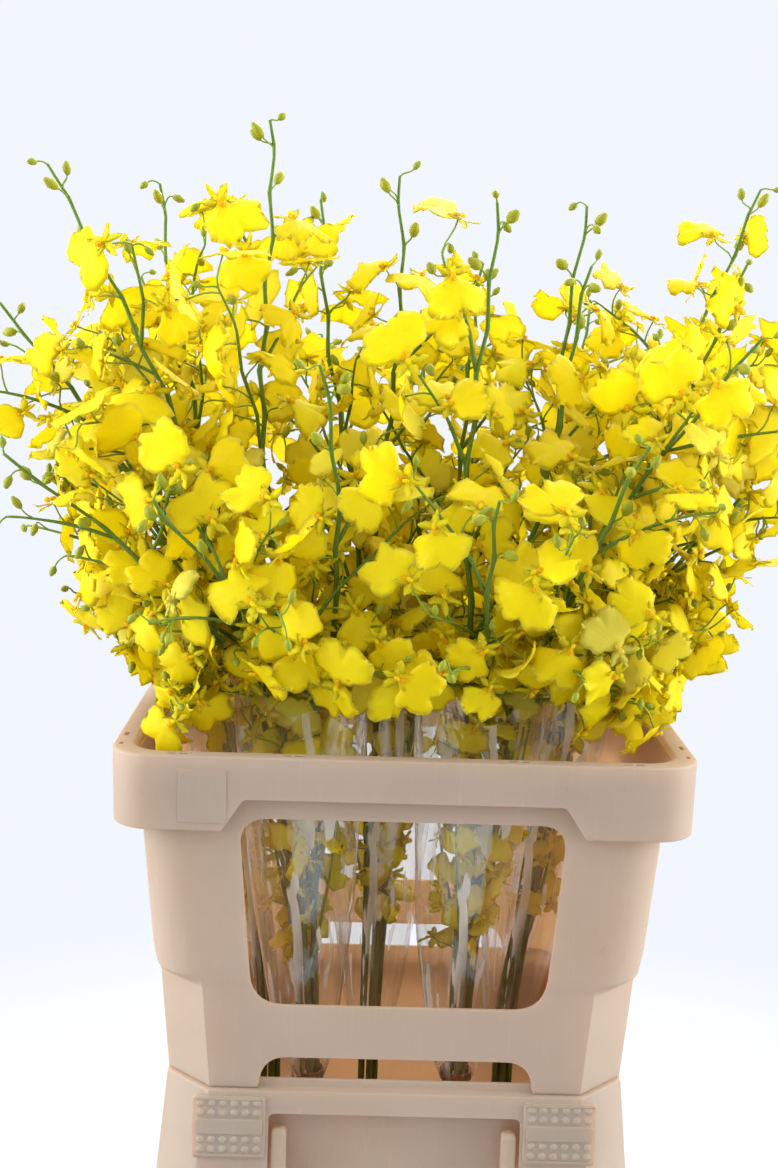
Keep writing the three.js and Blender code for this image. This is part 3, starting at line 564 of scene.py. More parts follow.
# Creases in the film: how many run round it, how far they slant on the way up, depth in mm.
CREASES = [(3, 1.4, 4.0), (4, -2.2, 3.0), (6, 2.9, 2.2), (9, -4.1, 1.4), (13, 5.3, 0.8)]
film, tree = blank_material("clear polypropylene film")
at = node(tree, "UVMap")
# Creases 10 to 25 mm apart run up the film and cross, with flat facets between them.
slanted = {name: node(tree, "Mapping", {"Vector": at, "Scale": scale, "Rotation": (0, 0, turn)})
           for name, scale, turn in (("creases", (17, 3.4, 1), 0.3), ("facets", (11, 7, 1), 0.5),
                                     ("patches", (5, 2.2, 1), 0.9))}
creases = node(tree, "TexNoise", {"Vector": slanted["creases"], "Scale": 1.0, "Detail": 1.6,
               "Roughness": 0.5, "Distortion": 1.0})
facets = node(tree, "TexVoronoi", {"Vector": slanted["facets"], "Scale": 1.0, "Randomness": 1.0},
              feature="DISTANCE_TO_EDGE")
folds = node(tree, "Math", {0: facets, 1: 0.8, 2: creases}, operation="MULTIPLY_ADD")
crease_normal = node(tree, "Bump", {"Height": folds, "Strength": 0.5, "Distance": 0.006})
# Crumpled stretches show white streaks, drawn as a milky layer: partly the film's own haze, partly painted
# highlights for the light its creases catch.
# The stretches between them stay clear. The flaps above the collar stand free and are less crumpled.
patches = node(tree, "TexNoise", {"Vector": slanted["patches"], "Scale": 1.0, "Detail": 1.0})
crumpled = node(tree, "MapRange", {"Value": patches, "From Min": 0.46, "From Max": 0.58, "To Min": 0.1})
along_film = node(tree, "SeparateXYZ", {0: at}).outputs["Y"]
enclosed = node(tree, "MapRange", {"Value": along_film, "From Min": 0.72, "From Max": 0.9,
                "To Min": 1.0, "To Max": 0.55})
haze_and_painted_glints = node(tree, "MapRange", {"Value": creases, "From Min": 0.59, "From Max": 0.615, "To Max": 0.72})
for share in (crumpled, enclosed):
    haze_and_painted_glints = node(tree, "Math", {0: haze_and_painted_glints, 1: share}, operation="MULTIPLY")
# Both faces of the film together mirror a tenth of the light straight on, and most of it edgeways.
facing = node(tree, "LayerWeight", {"Blend": 0.5, "Normal": crease_normal}).outputs["Facing"]
edgeways = node(tree, "Math", {0: facing, 1: 4.0}, operation="POWER")
mirrored = node(tree, "Math", {0: edgeways, 1: 0.75, 2: 0.09}, operation="MULTIPLY_ADD")
bare = node(tree, "MixShader", {0: mirrored, 1: node(tree, "BsdfTransparent", {"Color": linear("#FDFEFE")}),
            2: node(tree, "BsdfAnisotropic", {"Color": linear("#FFFFFF"), "Roughness": 0.07,
                                              "Normal": crease_normal})})
# The milky layer is white scattering film: partly real haze, partly painted highlights.
milky_haze_and_painted_glints = node(tree, "MixShader", {0: 0.6, 1: node(tree, "BsdfPrincipled", {
             "Base Color": linear("#FBFCFD"), "Roughness": 0.22, "IOR": 1.49, "Normal": crease_normal}),
             2: node(tree, "BsdfTranslucent", {"Color": linear("#FFFFFF"), "Normal": crease_normal})})
node(tree, "OutputMaterial", {"Surface": node(tree, "MixShader", {0: haze_and_painted_glints, 1: bare, 2: milky_haze_and_painted_glints})})

chances = np.random.default_rng(41)
for name, (foot_at, mouth_at, _) in BUNCHES.items():
    phase = chances.uniform(0, 2 * math.pi, 12)
    share = np.append(np.linspace(0, 0.998, FILM_ROWS - 1), 1)[:, None]
    angle = full_turn(FILM_COLUMNS)[None]
    # The film's edge rises and falls in flaps, and its folds deepen on the way up to it.
    flap = 0.6 * zigzag(3 * angle / math.pi + phase[0]) + 0.4 * zigzag(7 * angle / math.pi + phase[1])
    top = MOUTH - 6 + FLAP * flap ** 1.5
    z = KNOT - 3 + (top - KNOT + 3) * share ** 0.9
    up = rise(z)
    fold = sum(deep * zigzag(around * angle / math.pi + slant * up + phase[2 + k])
               for k, (around, slant, deep) in enumerate(CREASES))
    out = film_radius(z) - (fold - 1.0) * (0.35 + 0.65 * up) - 1.2
    # The last seventh of the film leans in and out.
    lean = np.clip(share - 0.86, 0, 1) / 0.14
    out = out + lean ** 2 * (5 * np.sin(2 * angle + phase[10]) + 3 * zigzag(5 * angle / math.pi + phase[11]))
    # The outer face runs up from the tie, and the inner one back down to it.
    layers = np.stack([out, (out - FILM_WALL)[::-1]])
    heights = np.stack([z, z[::-1]])
    centre = [foot_at[axis] + (mouth_at[axis] - foot_at[axis]) * rise(heights) for axis in (0, 1)]
    rings = np.stack([centre[0] + layers * np.cos(angle), centre[1] + layers * np.sin(angle), heights], -1)
    places = np.stack(np.broadcast_arrays(angle / (2 * math.pi), np.stack([share, share[::-1]])), -1)
    sleeve = mesh_object("film_sleeve_" + name, *shell(rings.reshape(2 * FILM_ROWS, FILM_COLUMNS, 3)), film,
                         uv=places.reshape(-1, 2))
    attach(sleeve, "root")
    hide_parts("sleeve_" + name)

# ---- Flower sprays: how they grow ---------------------------------------------------------
# Each spray is one cut flower stem. Its joints lie 32 mm apart above the sleeve and carry side
# shoots low down, single blooms above and buds at the top. The growth is worked out as for the
# solids, and what stands in a solid is kept.
KNOT_OFFSET, MOUTH_REACH = 6.2, 28.0
FIRST_JOINT, JOINT_STEP, SHOOT_SPAN, PEDICEL = 577.0, 32.0, 52.0, 21.0
TRIES = 36
LOW_BLOOMS = ((436, 490, 0.88), (535, 568, 1.05))
DOWN = np.array([0.0, 0.0, -1.0])


def chance(*keys):
    """Repeatable 0 to 1 from whole-number keys, each of which may be an array: the keys are mixed
    in turn into a 32-bit number by exclusive or, odd multipliers and shifts."""
    value = np.uint64(2166136261)
    low_bits = np.uint64(0xFFFFFFFF)
    for key in keys:
        value = ((value ^ np.asarray(key, np.uint64)) * np.uint64(16777619)) & low_bits
        value = ((value ^ (value >> np.uint64(15))) * np.uint64(2246822519)) & low_bits
        value = value ^ (value >> np.uint64(13))
    return value.astype(float) / 4294967296


def between(low, high, *keys):
    """low to high by chance."""
    return low + (high - low) * chance(*keys)


def unit(vectors):
    """Vectors scaled to length 1."""
    return vectors / np.linalg.norm(vectors, axis=-1, keepdims=True)


def square_to(vectors, axis):
    """The part of the vectors at right angles to a unit axis: v - (v . axis) axis."""
    return vectors - np.sum(vectors * axis, -1, keepdims=True) * axis


def bunch_axis(spray, z):
    """Middle of the spray's bunch at heights z, from its foot in the bucket to its mouth."""
    return spray["bunch_foot"] + (spray["bunch_mouth"] - spray["bunch_foot"]) * rise(z)


def stem_point(spray, z):
    """Straight up to the tie, then out with the bunch to its mouth, then on a parabola to the tip."""
    if z <= KNOT:
        return np.array([*spray["knot"], z])
    if z <= MOUTH:
        u = rise(z)
        flat = (bunch_axis(spray, z) + (spray["knot"] - spray["bunch_foot"]) * (1 - u * u)
                + (spray["mouth"] - spray["bunch_mouth"]) * u * u)
        return np.array([*flat, z])
    u = (z - MOUTH) / (spray["tip"][2] - MOUTH)
    flat = spray["mouth"] + (spray["tip"][:2] - spray["mouth"]) * (0.75 * u + 0.25 * u * u)
    return np.array([*flat, z])


def at_height(path, z):
    """Place and direction at a height on a path of straight spans."""
    span = np.flatnonzero(path[:-1, 2] <= z)[-1]
    along = path[span + 1] - path[span]
    return path[span] + along * (z - path[span, 2]) / along[2], unit(along)


def spray_plan(bunch, tip, number, order):
    """Path and joints of one spray: the stems leave their bunch in the order of their tips."""
    foot_at, mouth_at, tips = bunch
    foot_at, mouth_at, tip = (np.array(v, float) for v in (foot_at, mouth_at, tip))
    offset = tip[:2] - mouth_at
    away = math.atan2(offset[1], offset[0])
    turn = (order + 0.5) / len(tips) * 2 * math.pi - math.pi
    leave = turn + 0.5 * math.atan2(math.sin(away - turn), math.cos(away - turn))
    reach = min(MOUTH_REACH, 12 + 0.2 * math.hypot(*offset))
    spray = {"number": number, "tip": tip, "out": away, "bunch_foot": foot_at, "bunch_mouth": mouth_at,
             "knot": foot_at + KNOT_OFFSET * np.array([math.cos(turn), math.sin(turn)]),
             "mouth": mouth_at + reach * np.array([math.cos(leave), math.sin(leave)]),
             "outward": np.array([math.cos(away), math.sin(away), 0.0])}
    count = max(6, round((tip[2] - FIRST_JOINT) / JOINT_STEP))
    step = spray["step"] = (tip[2] - FIRST_JOINT) / count
    # The stem bends at the tie, 150 mm above it, at the mouth, and then after every second joint.
    bends = [3.3, KNOT, KNOT + 150, MOUTH] + [FIRST_JOINT + (i + 0.5) * step for i in range(0, count - 1, 2)]
    spray["path"] = np.array([stem_point(spray, z) for z in bends] + [tip])
    spray["joints"] = [(1 if i % 2 == 0 else -1, *at_height(spray["path"], FIRST_JOINT + i * step))
                       for i in range(count)]
    return spray


def arc(place, heading, start, end, bend, spans):
    """Points of a shoot whose angle from upright grows steadily from start to end. A point at
    angle a lies (cos start - cos a) * bend away and (sin a - sin start) * bend up, where bend is
    the length over the whole change of angle."""
    angle = start + (end - start) * np.arange(spans + 1) / spans
    away = (math.cos(start) - np.cos(angle)) * bend
    up = (np.sin(angle) - math.sin(start)) * bend
    return place + np.stack([math.cos(heading) * away, math.sin(heading) * away, up], -1)


def shoot_plan(spray, joint, attempt):
    """Points of a side shoot, the places of its blooms and their key. Each third try grows back
    across the bunch, and tries from the thirteenth on are shorter."""
    hand, place, _ = spray["joints"][joint]
    keys = (spray["number"], joint, attempt)
    height = joint / len(spray["joints"])
    heading = spray["out"] + (math.pi if attempt % 3 == 2 else 0) + hand * between(0.6, 1.5, 1, *keys)
    spans = max(2, math.floor(between(2.3, 3.5, 2, *keys) * (1 - 0.6 * height)
                              * (1 if attempt < 12 else 0.7) + 0.5))
    start = between(0.4, 0.85, 3, *keys) + (0.5 if joint == 0 else 0)
    end = start + between(0.15, 0.9, 4, *keys) * (1 - 0.6 * height)
    length = spans * SHOOT_SPAN * between(0.9, 1.1, 5, *keys) / (end - start)
    points = arc(place, heading, start, end, length, spans)
    carriers = [(points[i] + (points[i + 1] - points[i]) * part, unit(points[i + 1] - points[i]), DOWN)
                for i in range(spans) for part in ((0.8,) if i == 0 else (0.2, 0.8))]
    return points, carriers, spray["number"] * 100 + 1 + joint


def bloom_plans(carrier, outward, keys, size, facing=0.7, straying=0.5):
    """The positions tried for one bloom, as arrays: the stalk leaves a flat of its carrier, the
    bloom opens away from the stalk and outwards, and its lip hangs any way."""
    root, along, reference = carrier
    attempt = np.arange(TRIES)
    every = (*keys, attempt)
    normal = unit(square_to(reference, along))
    flank = (attempt + math.floor(3 * chance(10, *keys))) % 3
    turn = (math.pi / 3 * (1 + 2 * flank) + between(-0.45, 0.45, 11, *every))[:, None]
    lean = between(0.8, 1.35, 12, *every)[:, None]
    stalk = ((normal * np.cos(turn) + np.cross(along, normal) * np.sin(turn)) * np.sin(lean)
             + along * np.cos(lean))
    waist = root + stalk * (PEDICEL * between(0.75, 1.3, 13, *every))[:, None]
    jitter = np.stack([between(-1, 1, key, *every) for key in (14, 15, 16)], -1)
    face = unit(stalk + facing * outward + straying * jitter)
    hang = np.stack([jitter[:, 1], jitter[:, 2], between(-1.3, 0.9, 18, *every)], -1)
    lip = unit(square_to(hang, face))
    scale = (size * between(0.9, 1.1, 17, *every))[:, None]
    return {"root": root + 0 * waist, "along": along + 0 * waist, "stalk": stalk, "waist": waist,
            "face": face, "lip": lip, "width": np.cross(face, lip), "scale": scale}


def outward_at(spray, place):
    """The way out of the bouquet: level from 0.3 of the bunch's place, up above 700 mm, down below."""
    return unit(np.array([*(place[:2] - 0.3 * bunch_axis(spray, place[2])), 0.5 * (place[2] - 700)]))


def standing(solid, points, reach=0.15):
    """Number of the first of the points that is a corner of the solid, or None."""
    gap = np.linalg.norm(solid[None] - points[:, None], axis=-1).min(1)
    found = np.flatnonzero(gap < reach)
    return int(found[0]) if len(found) else None


KEPT_SIZE = 0.9                   # of a drawn bloom against its solid
SOLID_LIP = 9, 2.2                # a corner of a solid bloom: down its lip, and out of its face


def kept_bloom(spray, solid, carrier, keys, size=1.1):
    """The tried position at which the solid has a bloom, found by the middle of its lip."""
    plans = bloom_plans(carrier, outward_at(spray, carrier[0]), keys, size)
    corner = plans["lip"] * SOLID_LIP[0] + plans["face"] * SOLID_LIP[1]
    found = standing(solid, plans["waist"] + corner * plans["scale"])
    if found is None:
        return None
    plans["scale"] = plans["scale"] * KEPT_SIZE
    return {key: values[found] for key, values in plans.items()}


sprays = []
for bunch_number, (bunch_name, bunch) in enumerate(BUNCHES.items()):
    mouth_at = bunch[1]
    in_order = sorted(bunch[2], key=lambda tip: math.atan2(tip[1] - mouth_at[1], tip[0] - mouth_at[0]))
    for order, tip in enumerate(in_order):
        sprays.append(spray_plan(bunch, tip, bunch_number * 10 + order + 1, order))
        sprays[-1]["bunch"] = bunch_name

for i, spray in enumerate(sprays):
    spray["name"] = f"spray_{i + 1:02d}"
    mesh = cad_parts[spray["name"]].data
    solid = np.empty(len(mesh.vertices) * 3, np.float32)
    mesh.vertices.foreach_get("co", solid)
    solid = np.unique(solid.reshape(-1, 3).round(6), axis=0) / MM
    count = len(spray["joints"])
    blooms, shoots, buds = [], [], []
    for k, (low, high, size) in enumerate(LOW_BLOOMS):
        place, along = at_height(spray["path"], between(low, high, 8, spray["number"], k))
        carrier = (place, along, spray["outward"])
        blooms.append(kept_bloom(spray, solid, carrier, (spray["number"], 50 + k), size))
    for joint, (hand, place, along) in enumerate(spray["joints"]):
        plans = [shoot_plan(spray, joint, attempt) for attempt in range(TRIES)] \
            if joint == 0 or (joint % 2 == 1 and joint < 0.7 * count) else []
        shoot = standing(solid, np.array([plan[0][-1] for plan in plans]), 0.5) if plans else None
        if shoot is not None:
            points, carriers, part = plans[shoot]
            shoots.append(points)
            blooms += [kept_bloom(spray, solid, carrier, (part, k)) for k, carrier in enumerate(carriers)]
        carrier = (place, along, spray["outward"])
        if joint >= count - 2:
            sideways = unit(np.cross(along, spray["outward"])) * hand
            direction = unit(along + 0.9 * sideways + 0.35 * spray["outward"])
            if standing(solid, (place + 20 * direction)[None]) is not None:
                buds.append((place, direction, along))
        elif shoot is None:
            blooms += [kept_bloom(spray, solid, carrier, (spray["number"], 60 + joint)),
                       kept_bloom(spray, solid, carrier, (spray["number"], 80 + joint))]
    spray["blooms"] = [bloom for bloom in blooms if bloom is not None]
    spray["shoots"], spray["buds"] = shoots, buds

# The heads of the sprays are crowded: more shoots and blooms stand in the gaps between those of
# the solids, and each new bloom keeps a set distance between the middle of its lip and all others.
LIP_MIDDLE = 13.0                 # from the waist to the middle of the lip
LEFT_SIDE = [541, 585, 650, 700, 745], [180, 202, 252, 264, 300]     # heights, half widths
RIGHT_SIDE = [541, 585, 612], [180, 232, 274]
ROOM_AT = [600, 700, 800], [25, 29, 36]                              # heights, room between blooms
# No bloom hangs within 15 mm before a tall stem that shows from the front, 1.1 m from the eye.
TALL, TALL_TIP = ("front_left", "front_right", "mid_back"), 800
CLEAR_OF_STEM, EYE_TO_STEM = 15, 1100
EYE = np.array(PLACE) / MM
tall_paths = [spray["path"] for spray in sprays if spray["bunch"] in TALL and spray["tip"][2] > TALL_TIP]
mouths = np.array([bunch[1] for bunch in BUNCHES.values()], float)


def lip_middles(blooms):
    """The middle of each lip, 13 mm from the waist."""
    return blooms["waist"] + blooms["lip"] * LIP_MIDDLE * blooms["scale"]


def in_free_air(points):
    """Whether a bloom has air round it: above the sleeves, or beside them and inside the rim. It
    stands within the bouquet, whose half widths grow with height, below the tips and out of the
    core of the lower head, and neither before the flaps of the front film nor before a tall stem."""
    x, y, z = points.T
    half_x = np.where(x < 0, np.interp(z, *LEFT_SIDE), np.interp(z, *RIGHT_SIDE))
    half_y = np.minimum(212 + 0.52 * (z - RIM), 345) - 86
    far_out = np.hypot(x / half_x, y / half_y)
    from_bunch = np.linalg.norm(points[:, None, :2] - mouths[None], axis=-1).min(1)
    below_top = (z < 938) | ((x > 200) & (z < 960))
    over_film = (z > 584) | ((z > 562) & (from_bunch > 74))
    off_core = (far_out > 0.5) | (z > 770) | (z < 610)
    inside_rim = (np.abs(x) < 168) & (np.abs(y) < 116) & (z > 516) & (z < 620) & (from_bunch > 68)
    off_flaps = (y > -35) | (z > 578) | (np.abs(x) > 132)
    allowed = ((far_out < 1) & below_top & over_film & off_core | inside_rim) & off_flaps
    for path in tall_paths:
        stem_x, stem_y = (np.interp(z, path[:, 2], path[:, axis]) for axis in (0, 1))
        sideways = (x - EYE[0]) / (y - EYE[1]) - (stem_x - EYE[0]) / (stem_y - EYE[1])
        allowed &= (np.abs(sideways) * EYE_TO_STEM > CLEAR_OF_STEM) | (y > stem_y) | (z < 612)
    return allowed


def in_own_sleeve(spray):
    """Whether a bloom fits within the film of its own bunch, in the upper half of the collar."""
    def test(points):
        away = np.linalg.norm(points[:, :2] - bunch_axis(spray, points[:, 2:]), axis=1)
        inside = away < 0.93 * film_radius(points[:, 2] - 14) - 15
        return inside & (points[:, 2] > 350) & (points[:, 2] < 596)
    return test


def blooms_of(spray):
    """The spray's blooms as one array for each key."""
    return {key: np.array([bloom[key] for bloom in spray["blooms"]]) for key in spray["blooms"][0]}


taken = {"middles": np.vstack([lip_middles(blooms_of(spray)) for spray in sprays])}


def crowd(spray, carrier, keys, size, allowed, crowding):
    """Adds the first tried bloom that is allowed and clear of the others, if there is one."""
    plans = bloom_plans(carrier, outward_at(spray, carrier[0]), keys, size, 0.45, 1.0)
    tried = lip_middles(plans)
    clear = np.linalg.norm(tried[:, None] - taken["middles"][None], axis=-1).min(1) > crowding
    open_face = np.sum(plans["stalk"] * plans["face"], -1) > 0.25
    found = np.flatnonzero(clear & open_face & allowed(tried))
    if len(found):
        spray["blooms"].append({key: values[found[0]] for key, values in plans.items()})
        taken["middles"] = np.vstack([taken["middles"], tried[found[:1]]])


def on_shoot(shoot, part):
    """The carrier at a part of a shoot, counted in spans: its place, its direction, and down."""
    start, end = shoot[int(part)], shoot[int(part) + 1]
    return start + (end - start) * (part % 1), unit(end - start), DOWN


def sprout(spray, place, heading, angles, length, key, size, crowding, parts=(0.9, 1.6, 2.3, 3.0, 3.6)):
    """Tries a bloom at each part of a new shoot of four spans, and keeps the shoot if it has any."""
    shoot = arc(place, heading, *angles, length / (angles[1] - angles[0]), 4)
    before = len(spray["blooms"])
    for part in parts:
        keys = (spray["number"], key + int(part * 2))
        crowd(spray, on_shoot(shoot, part), keys, size, in_free_air, crowding)
    if len(spray["blooms"]) > before:
        spray["shoots"].append(shoot)


# Inside the sleeve two thin shoots of each spray rise nearly upright beside the stem.
for spray in sprays:
    spray["solid_shoots"] = len(spray["shoots"])
    for k, height in enumerate((345, 400)):
        place, _ = at_height(spray["path"], height)
        keys = (spray["number"], 540 + k)
        heading = spray["out"] + between(-2.4, 2.4, 1, *keys)
        start, end = between(0.3, 0.42, 2, *keys), between(0.02, 0.12, 3, *keys)
        shoot = arc(place, heading, start, end, between(150, 190, 4, *keys) / (end - start), 4)
        aside = np.linalg.norm(shoot[:, :2] - bunch_axis(spray, shoot[:, 2:]), axis=1)
        if (aside > 0.85 * film_radius(shoot[:, 2]) - 6).any():
            continue
        for part in np.arange(0.6, 4.0, 0.45):
            crowd(spray, on_shoot(shoot, part), (spray["number"], 440 + 20 * k + int(part * 4)), 0.78,
                  in_own_sleeve(spray), 24)
        spray["shoots"].append(shoot)

for spray in sprays:
    # Low shoots arch out over the film and the rim, level or drooping at their ends.
    for k, height in enumerate((572, 586, 600, 616)):
        keys = (spray["number"], 500 + k)
        angles = between(0.7, 1.1, 2, *keys), between(1.5, 2.15, 3, *keys)
        sprout(spray, at_height(spray["path"], height)[0],
               spray["out"] + (k - 1.5) * between(0.5, 1.2, 1, *keys), angles,
               between(60, 120, 4, *keys), 600 + 10 * k, between(0.82, 1.05, 5, *keys), 24)
    # The outer sprays reach sideways, out over the rim.
    side = 0 if spray["tip"][0] > 0 else math.pi
    for k, height in enumerate((612, 645, 680, 715, 750, 790)):
        if abs(spray["tip"][0]) < 140 or height > spray["tip"][2] - 60:
            continue
        keys = (spray["number"], 520 + k)
        angles = between(0.9, 1.3, 1, *keys), between(1.35, 1.8, 2, *keys)
        sprout(spray, at_height(spray["path"], height)[0], side + between(-0.9, 0.9, 3, *keys), angles,
               between(60, 120, 4, *keys), 700 + 10 * k, between(0.85, 1.05, 5, *keys), 27)

# Into each corner of the rim lean shoots of the three sprays nearest to it.
for corner_x in (-166, 166):
    for corner_y in (-108, 108):
        nearest = sorted(sprays, key=lambda s: math.hypot(s["mouth"][0] - corner_x, s["mouth"][1] - corner_y))
        for k in range(7):
            spray = nearest[k % 3]
            place, _ = at_height(spray["path"], 563 + 5 * k)
            offset = np.array([corner_x, corner_y * (1.08 - 0.11 * k)]) - place[:2]
            sprout(spray, place, math.atan2(offset[1], offset[0]), (1.15, 1.75 + 0.12 * (k % 4)),
                   1.05 * np.hypot(*offset), 800 + 10 * k, 0.95, 20, (1.4, 2.0, 2.6, 3.2, 3.7))

# Blooms fill the stems, within the sleeve and above it up to a ceiling, and the solids' shoots.
for spray in sprays:
    for k, height in enumerate(np.arange(372, 600, 15.0)):
        place, along = at_height(spray["path"], height)
        crowd(spray, (place, along, spray["outward"]), (spray["number"], 400 + k),
              0.82 if height < 520 else 0.95, in_own_sleeve(spray), 20)
    ceiling = min(spray["tip"][2] - 95, between(770, 850, 7, spray["number"]))
    if spray["tip"][0] > 200:
        ceiling = spray["tip"][2] - 30
    for k, height in enumerate(np.arange(574, ceiling, 12.0)):
        carrier = (*at_height(spray["path"], height), spray["outward"])
        crowd(spray, carrier, (spray["number"], 200 + k), between(0.8, 1.05, 6, spray["number"], k),
              in_free_air, np.interp(height, *ROOM_AT))
    for number, shoot in enumerate(spray["shoots"][:spray["solid_shoots"]]):
        for k, part in enumerate(np.arange(0.3, len(shoot) - 1.25, 0.3)):
            height = shoot[int(part), 2]
            if height < ceiling:
                crowd(spray, on_shoot(shoot, part), (spray["number"], 300 + 20 * number + k),
                      between(0.8, 1.05, 9, spray["number"], k), in_free_air, np.interp(height, *ROOM_AT))


def swayed(points, spray):
    """The points moved sideways as their stem wanders: 2 mm to and fro from joint to joint and a
    slow bend of 6 mm, 4.5 mm front to back, both of which come in over the first 120 mm above the sleeve."""
    z = points[..., 2]
    kink = 2 * zigzag((z - FIRST_JOINT) / spray["step"]) - 1
    bend = np.sin(z / 60 + 2.4 * spray["number"]), np.sin(z / 75 + 1.7 * spray["number"])
    shift = np.stack([1.9 * kink + 6.0 * bend[0], 1.6 * kink + 4.5 * bend[1], 0 * z], -1)
    return points + shift * np.clip((z - 570) / 120, 0, 1)[..., None]


# ---- Flower sprays: blooms ----------------------------------------------------------------
# An oncidium bloom: a broad lip of two lobes on a narrow waist, with a warty orange crest and a
# short column at the waist, and five small wavy petals round it. Petals are living tissue,
# 0.3 to 0.5 mm thick, waxy on the face, and light shines through them.
LIP_COLUMNS = 30
# Edge of the lip from its middle, 12 mm below the waist: degrees from the notch between the two
# lobes, and reach. The rings run out over the back, round the edge and in again over the face.
LIP_ANGLES = [0, 10, 20, 30, 40, 50, 60, 80, 97, 110, 122, 134, 145, 156, 168, 180]
LIP_REACH = [13.2, 15.8, 18.4, 20.0, 20.8, 21.0, 20.8, 20.6, 20.2, 18.2, 15.0, 12.4, 11.6, 12.0, 13.2, 13.2]
LIP_RINGS = np.array([0.42, 0.78, 1.0, 0.78, 0.42])
LIP_SIDES = np.array([-1, -1, 0, 1, 1])
LIP_WALL = 0.4


def lip_points(count, chances):
    """Lips in their own frame (bloom, point, 3): x across, y up from the waist, z out of the face.
    Middle surface: a low dome, lobes bent back or cupped by a chance amount, and a ruffle that
    grows with the third power of the way to the edge; the two faces lie half the wall from it."""
    angle = full_turn(LIP_COLUMNS)
    folded = np.degrees(np.minimum(angle, 2 * math.pi - angle))
    reach = np.interp(folded, LIP_ANGLES, LIP_REACH)
    draw = lambda low, high: chances.uniform(low, high, (count, 1, 1))
    q, edge = LIP_RINGS[None, :, None], reach[None, None]
    frill = chances.uniform(-1, 1, (count, 1, LIP_COLUMNS))
    edge = edge * (1 + 0.055 * np.sin(5 * angle + draw(0, 6.3)) + 0.045 * np.sin(9 * angle + draw(0, 6.3))
                   + 0.035 * frill)
    x = edge * q * np.sin(angle) * draw(0.93, 1.06)
    y = -12 - edge * q * np.cos(angle)
    broad = np.clip((-y - 2) / 16, 0, 1)
    ruffle = (1.7 * np.sin(draw(4.5, 6.5) * angle + draw(0, 6.3))
              + 1.2 * np.sin(draw(7.5, 11.5) * angle + draw(0, 6.3)) + 0.75 * np.roll(frill, 1, 2))
    middle = (1.6 - 2.4 * q ** 2 + draw(-0.022, 0.012) * x ** 2 + draw(-0.014, 0.016) * (y + 14) ** 2 * broad
              + draw(-0.16, 0.16) * x + broad * ruffle * q ** 3
              + draw(0.5, 1.3) * np.exp(-(x / 2.2) ** 2) * q * broad * -1)
    z = middle + LIP_SIDES[None, :, None] * LIP_WALL / 2
    rings = np.stack(np.broadcast_arrays(x, y, z), -1).reshape(count, -1, 3)
    pole = np.stack(np.broadcast_arrays(0 * x[:, :1, 0], 0 * x[:, :1, 0] - 12, middle[:, :1, :].mean(-1)), -1)
    back = pole - [0, 0, LIP_WALL / 2]
    return np.concatenate([back, rings, pole + [0, 0, LIP_WALL / 2]], 1)


PETAL_TURNS = np.radians([0, 64, -64, 142, -142])     # from upright, as seen from the front
PETAL_LONG = np.array([12.5, 13.0, 13.0, 11.5, 11.5])
PETAL_WIDE = np.array([2.3, 3.2, 3.2, 2.1, 2.1])      # half width
PETAL_STATIONS = np.array([0.06, 0.36, 0.7, 0.94])


def petal_points(count, chances):
    """Five petals per bloom (bloom, point, 3): a lens-shaped section of four points carried along a
    curved midrib, half width growing and falling as sin(pi * s ** 0.85) ** 0.75, edges waved."""
    s = PETAL_STATIONS[None, None, :]
    draw = lambda low, high: chances.uniform(low, high, (count, 5, 1))
    long_, wide = PETAL_LONG[None, :, None] * draw(0.9, 1.1), PETAL_WIDE[None, :, None] * draw(0.85, 1.1)
    half = wide * np.sin(math.pi * s ** 0.85) ** 0.75 + 0.35
    bend = draw(-0.35, 0.45) * long_ * s ** 2 - 1.2
    wave, counterwave = (1.1 * np.sin(draw(7, 10) * s + draw(0, 6.3)) * s for _ in range(2))
    zero = 0 * half
    across_ = np.stack([half, zero, -half, zero], -1)
    out = np.stack([bend + wave, bend + 0.28, bend + counterwave, bend - 0.28], -1)
    up = np.broadcast_to((long_ * s)[..., None], out.shape)
    section = np.stack([across_, up, out], -1).reshape(count, 5, -1, 3)
    ends = np.stack([np.stack([0 * long_, 0 * long_, 0 * long_ - 1.2], -1),
                     np.stack([0 * long_, long_ * 1.03, bend[..., -1:] * 1.03], -1)], 2)[:, :, :, 0]
    petal = np.concatenate([ends[:, :, :1], section, ends[:, :, 1:]], 2)
    turn = PETAL_TURNS[None, :, None] + draw(-0.16, 0.16)
    x = petal[..., 0] * np.cos(turn) + petal[..., 1] * np.sin(turn)
    y = petal[..., 1] * np.cos(turn) - petal[..., 0] * np.sin(turn)
    return np.stack([x, y + 1.5, petal[..., 2]], -1).reshape(count, -1, 3)


def blob(middle, size, rings, around, bumps=0.0):
    """An ellipsoid with its poles up and down, dented by sin(3 a) * sin(4 b)."""
    b = np.linspace(0, math.pi, rings + 2)[1:-1, None]
    a = full_turn(around)[None]
    r = 1 + bumps * np.sin(3 * a) * np.sin(4 * b)
    ball = np.stack([r * np.sin(b) * np.cos(a), r * np.cos(b) + 0 * a, r * np.sin(b) * np.sin(a)], -1)
    return np.vstack([[0, 1, 0], ball.reshape(-1, 3), [0, -1, 0]]) * size + middle


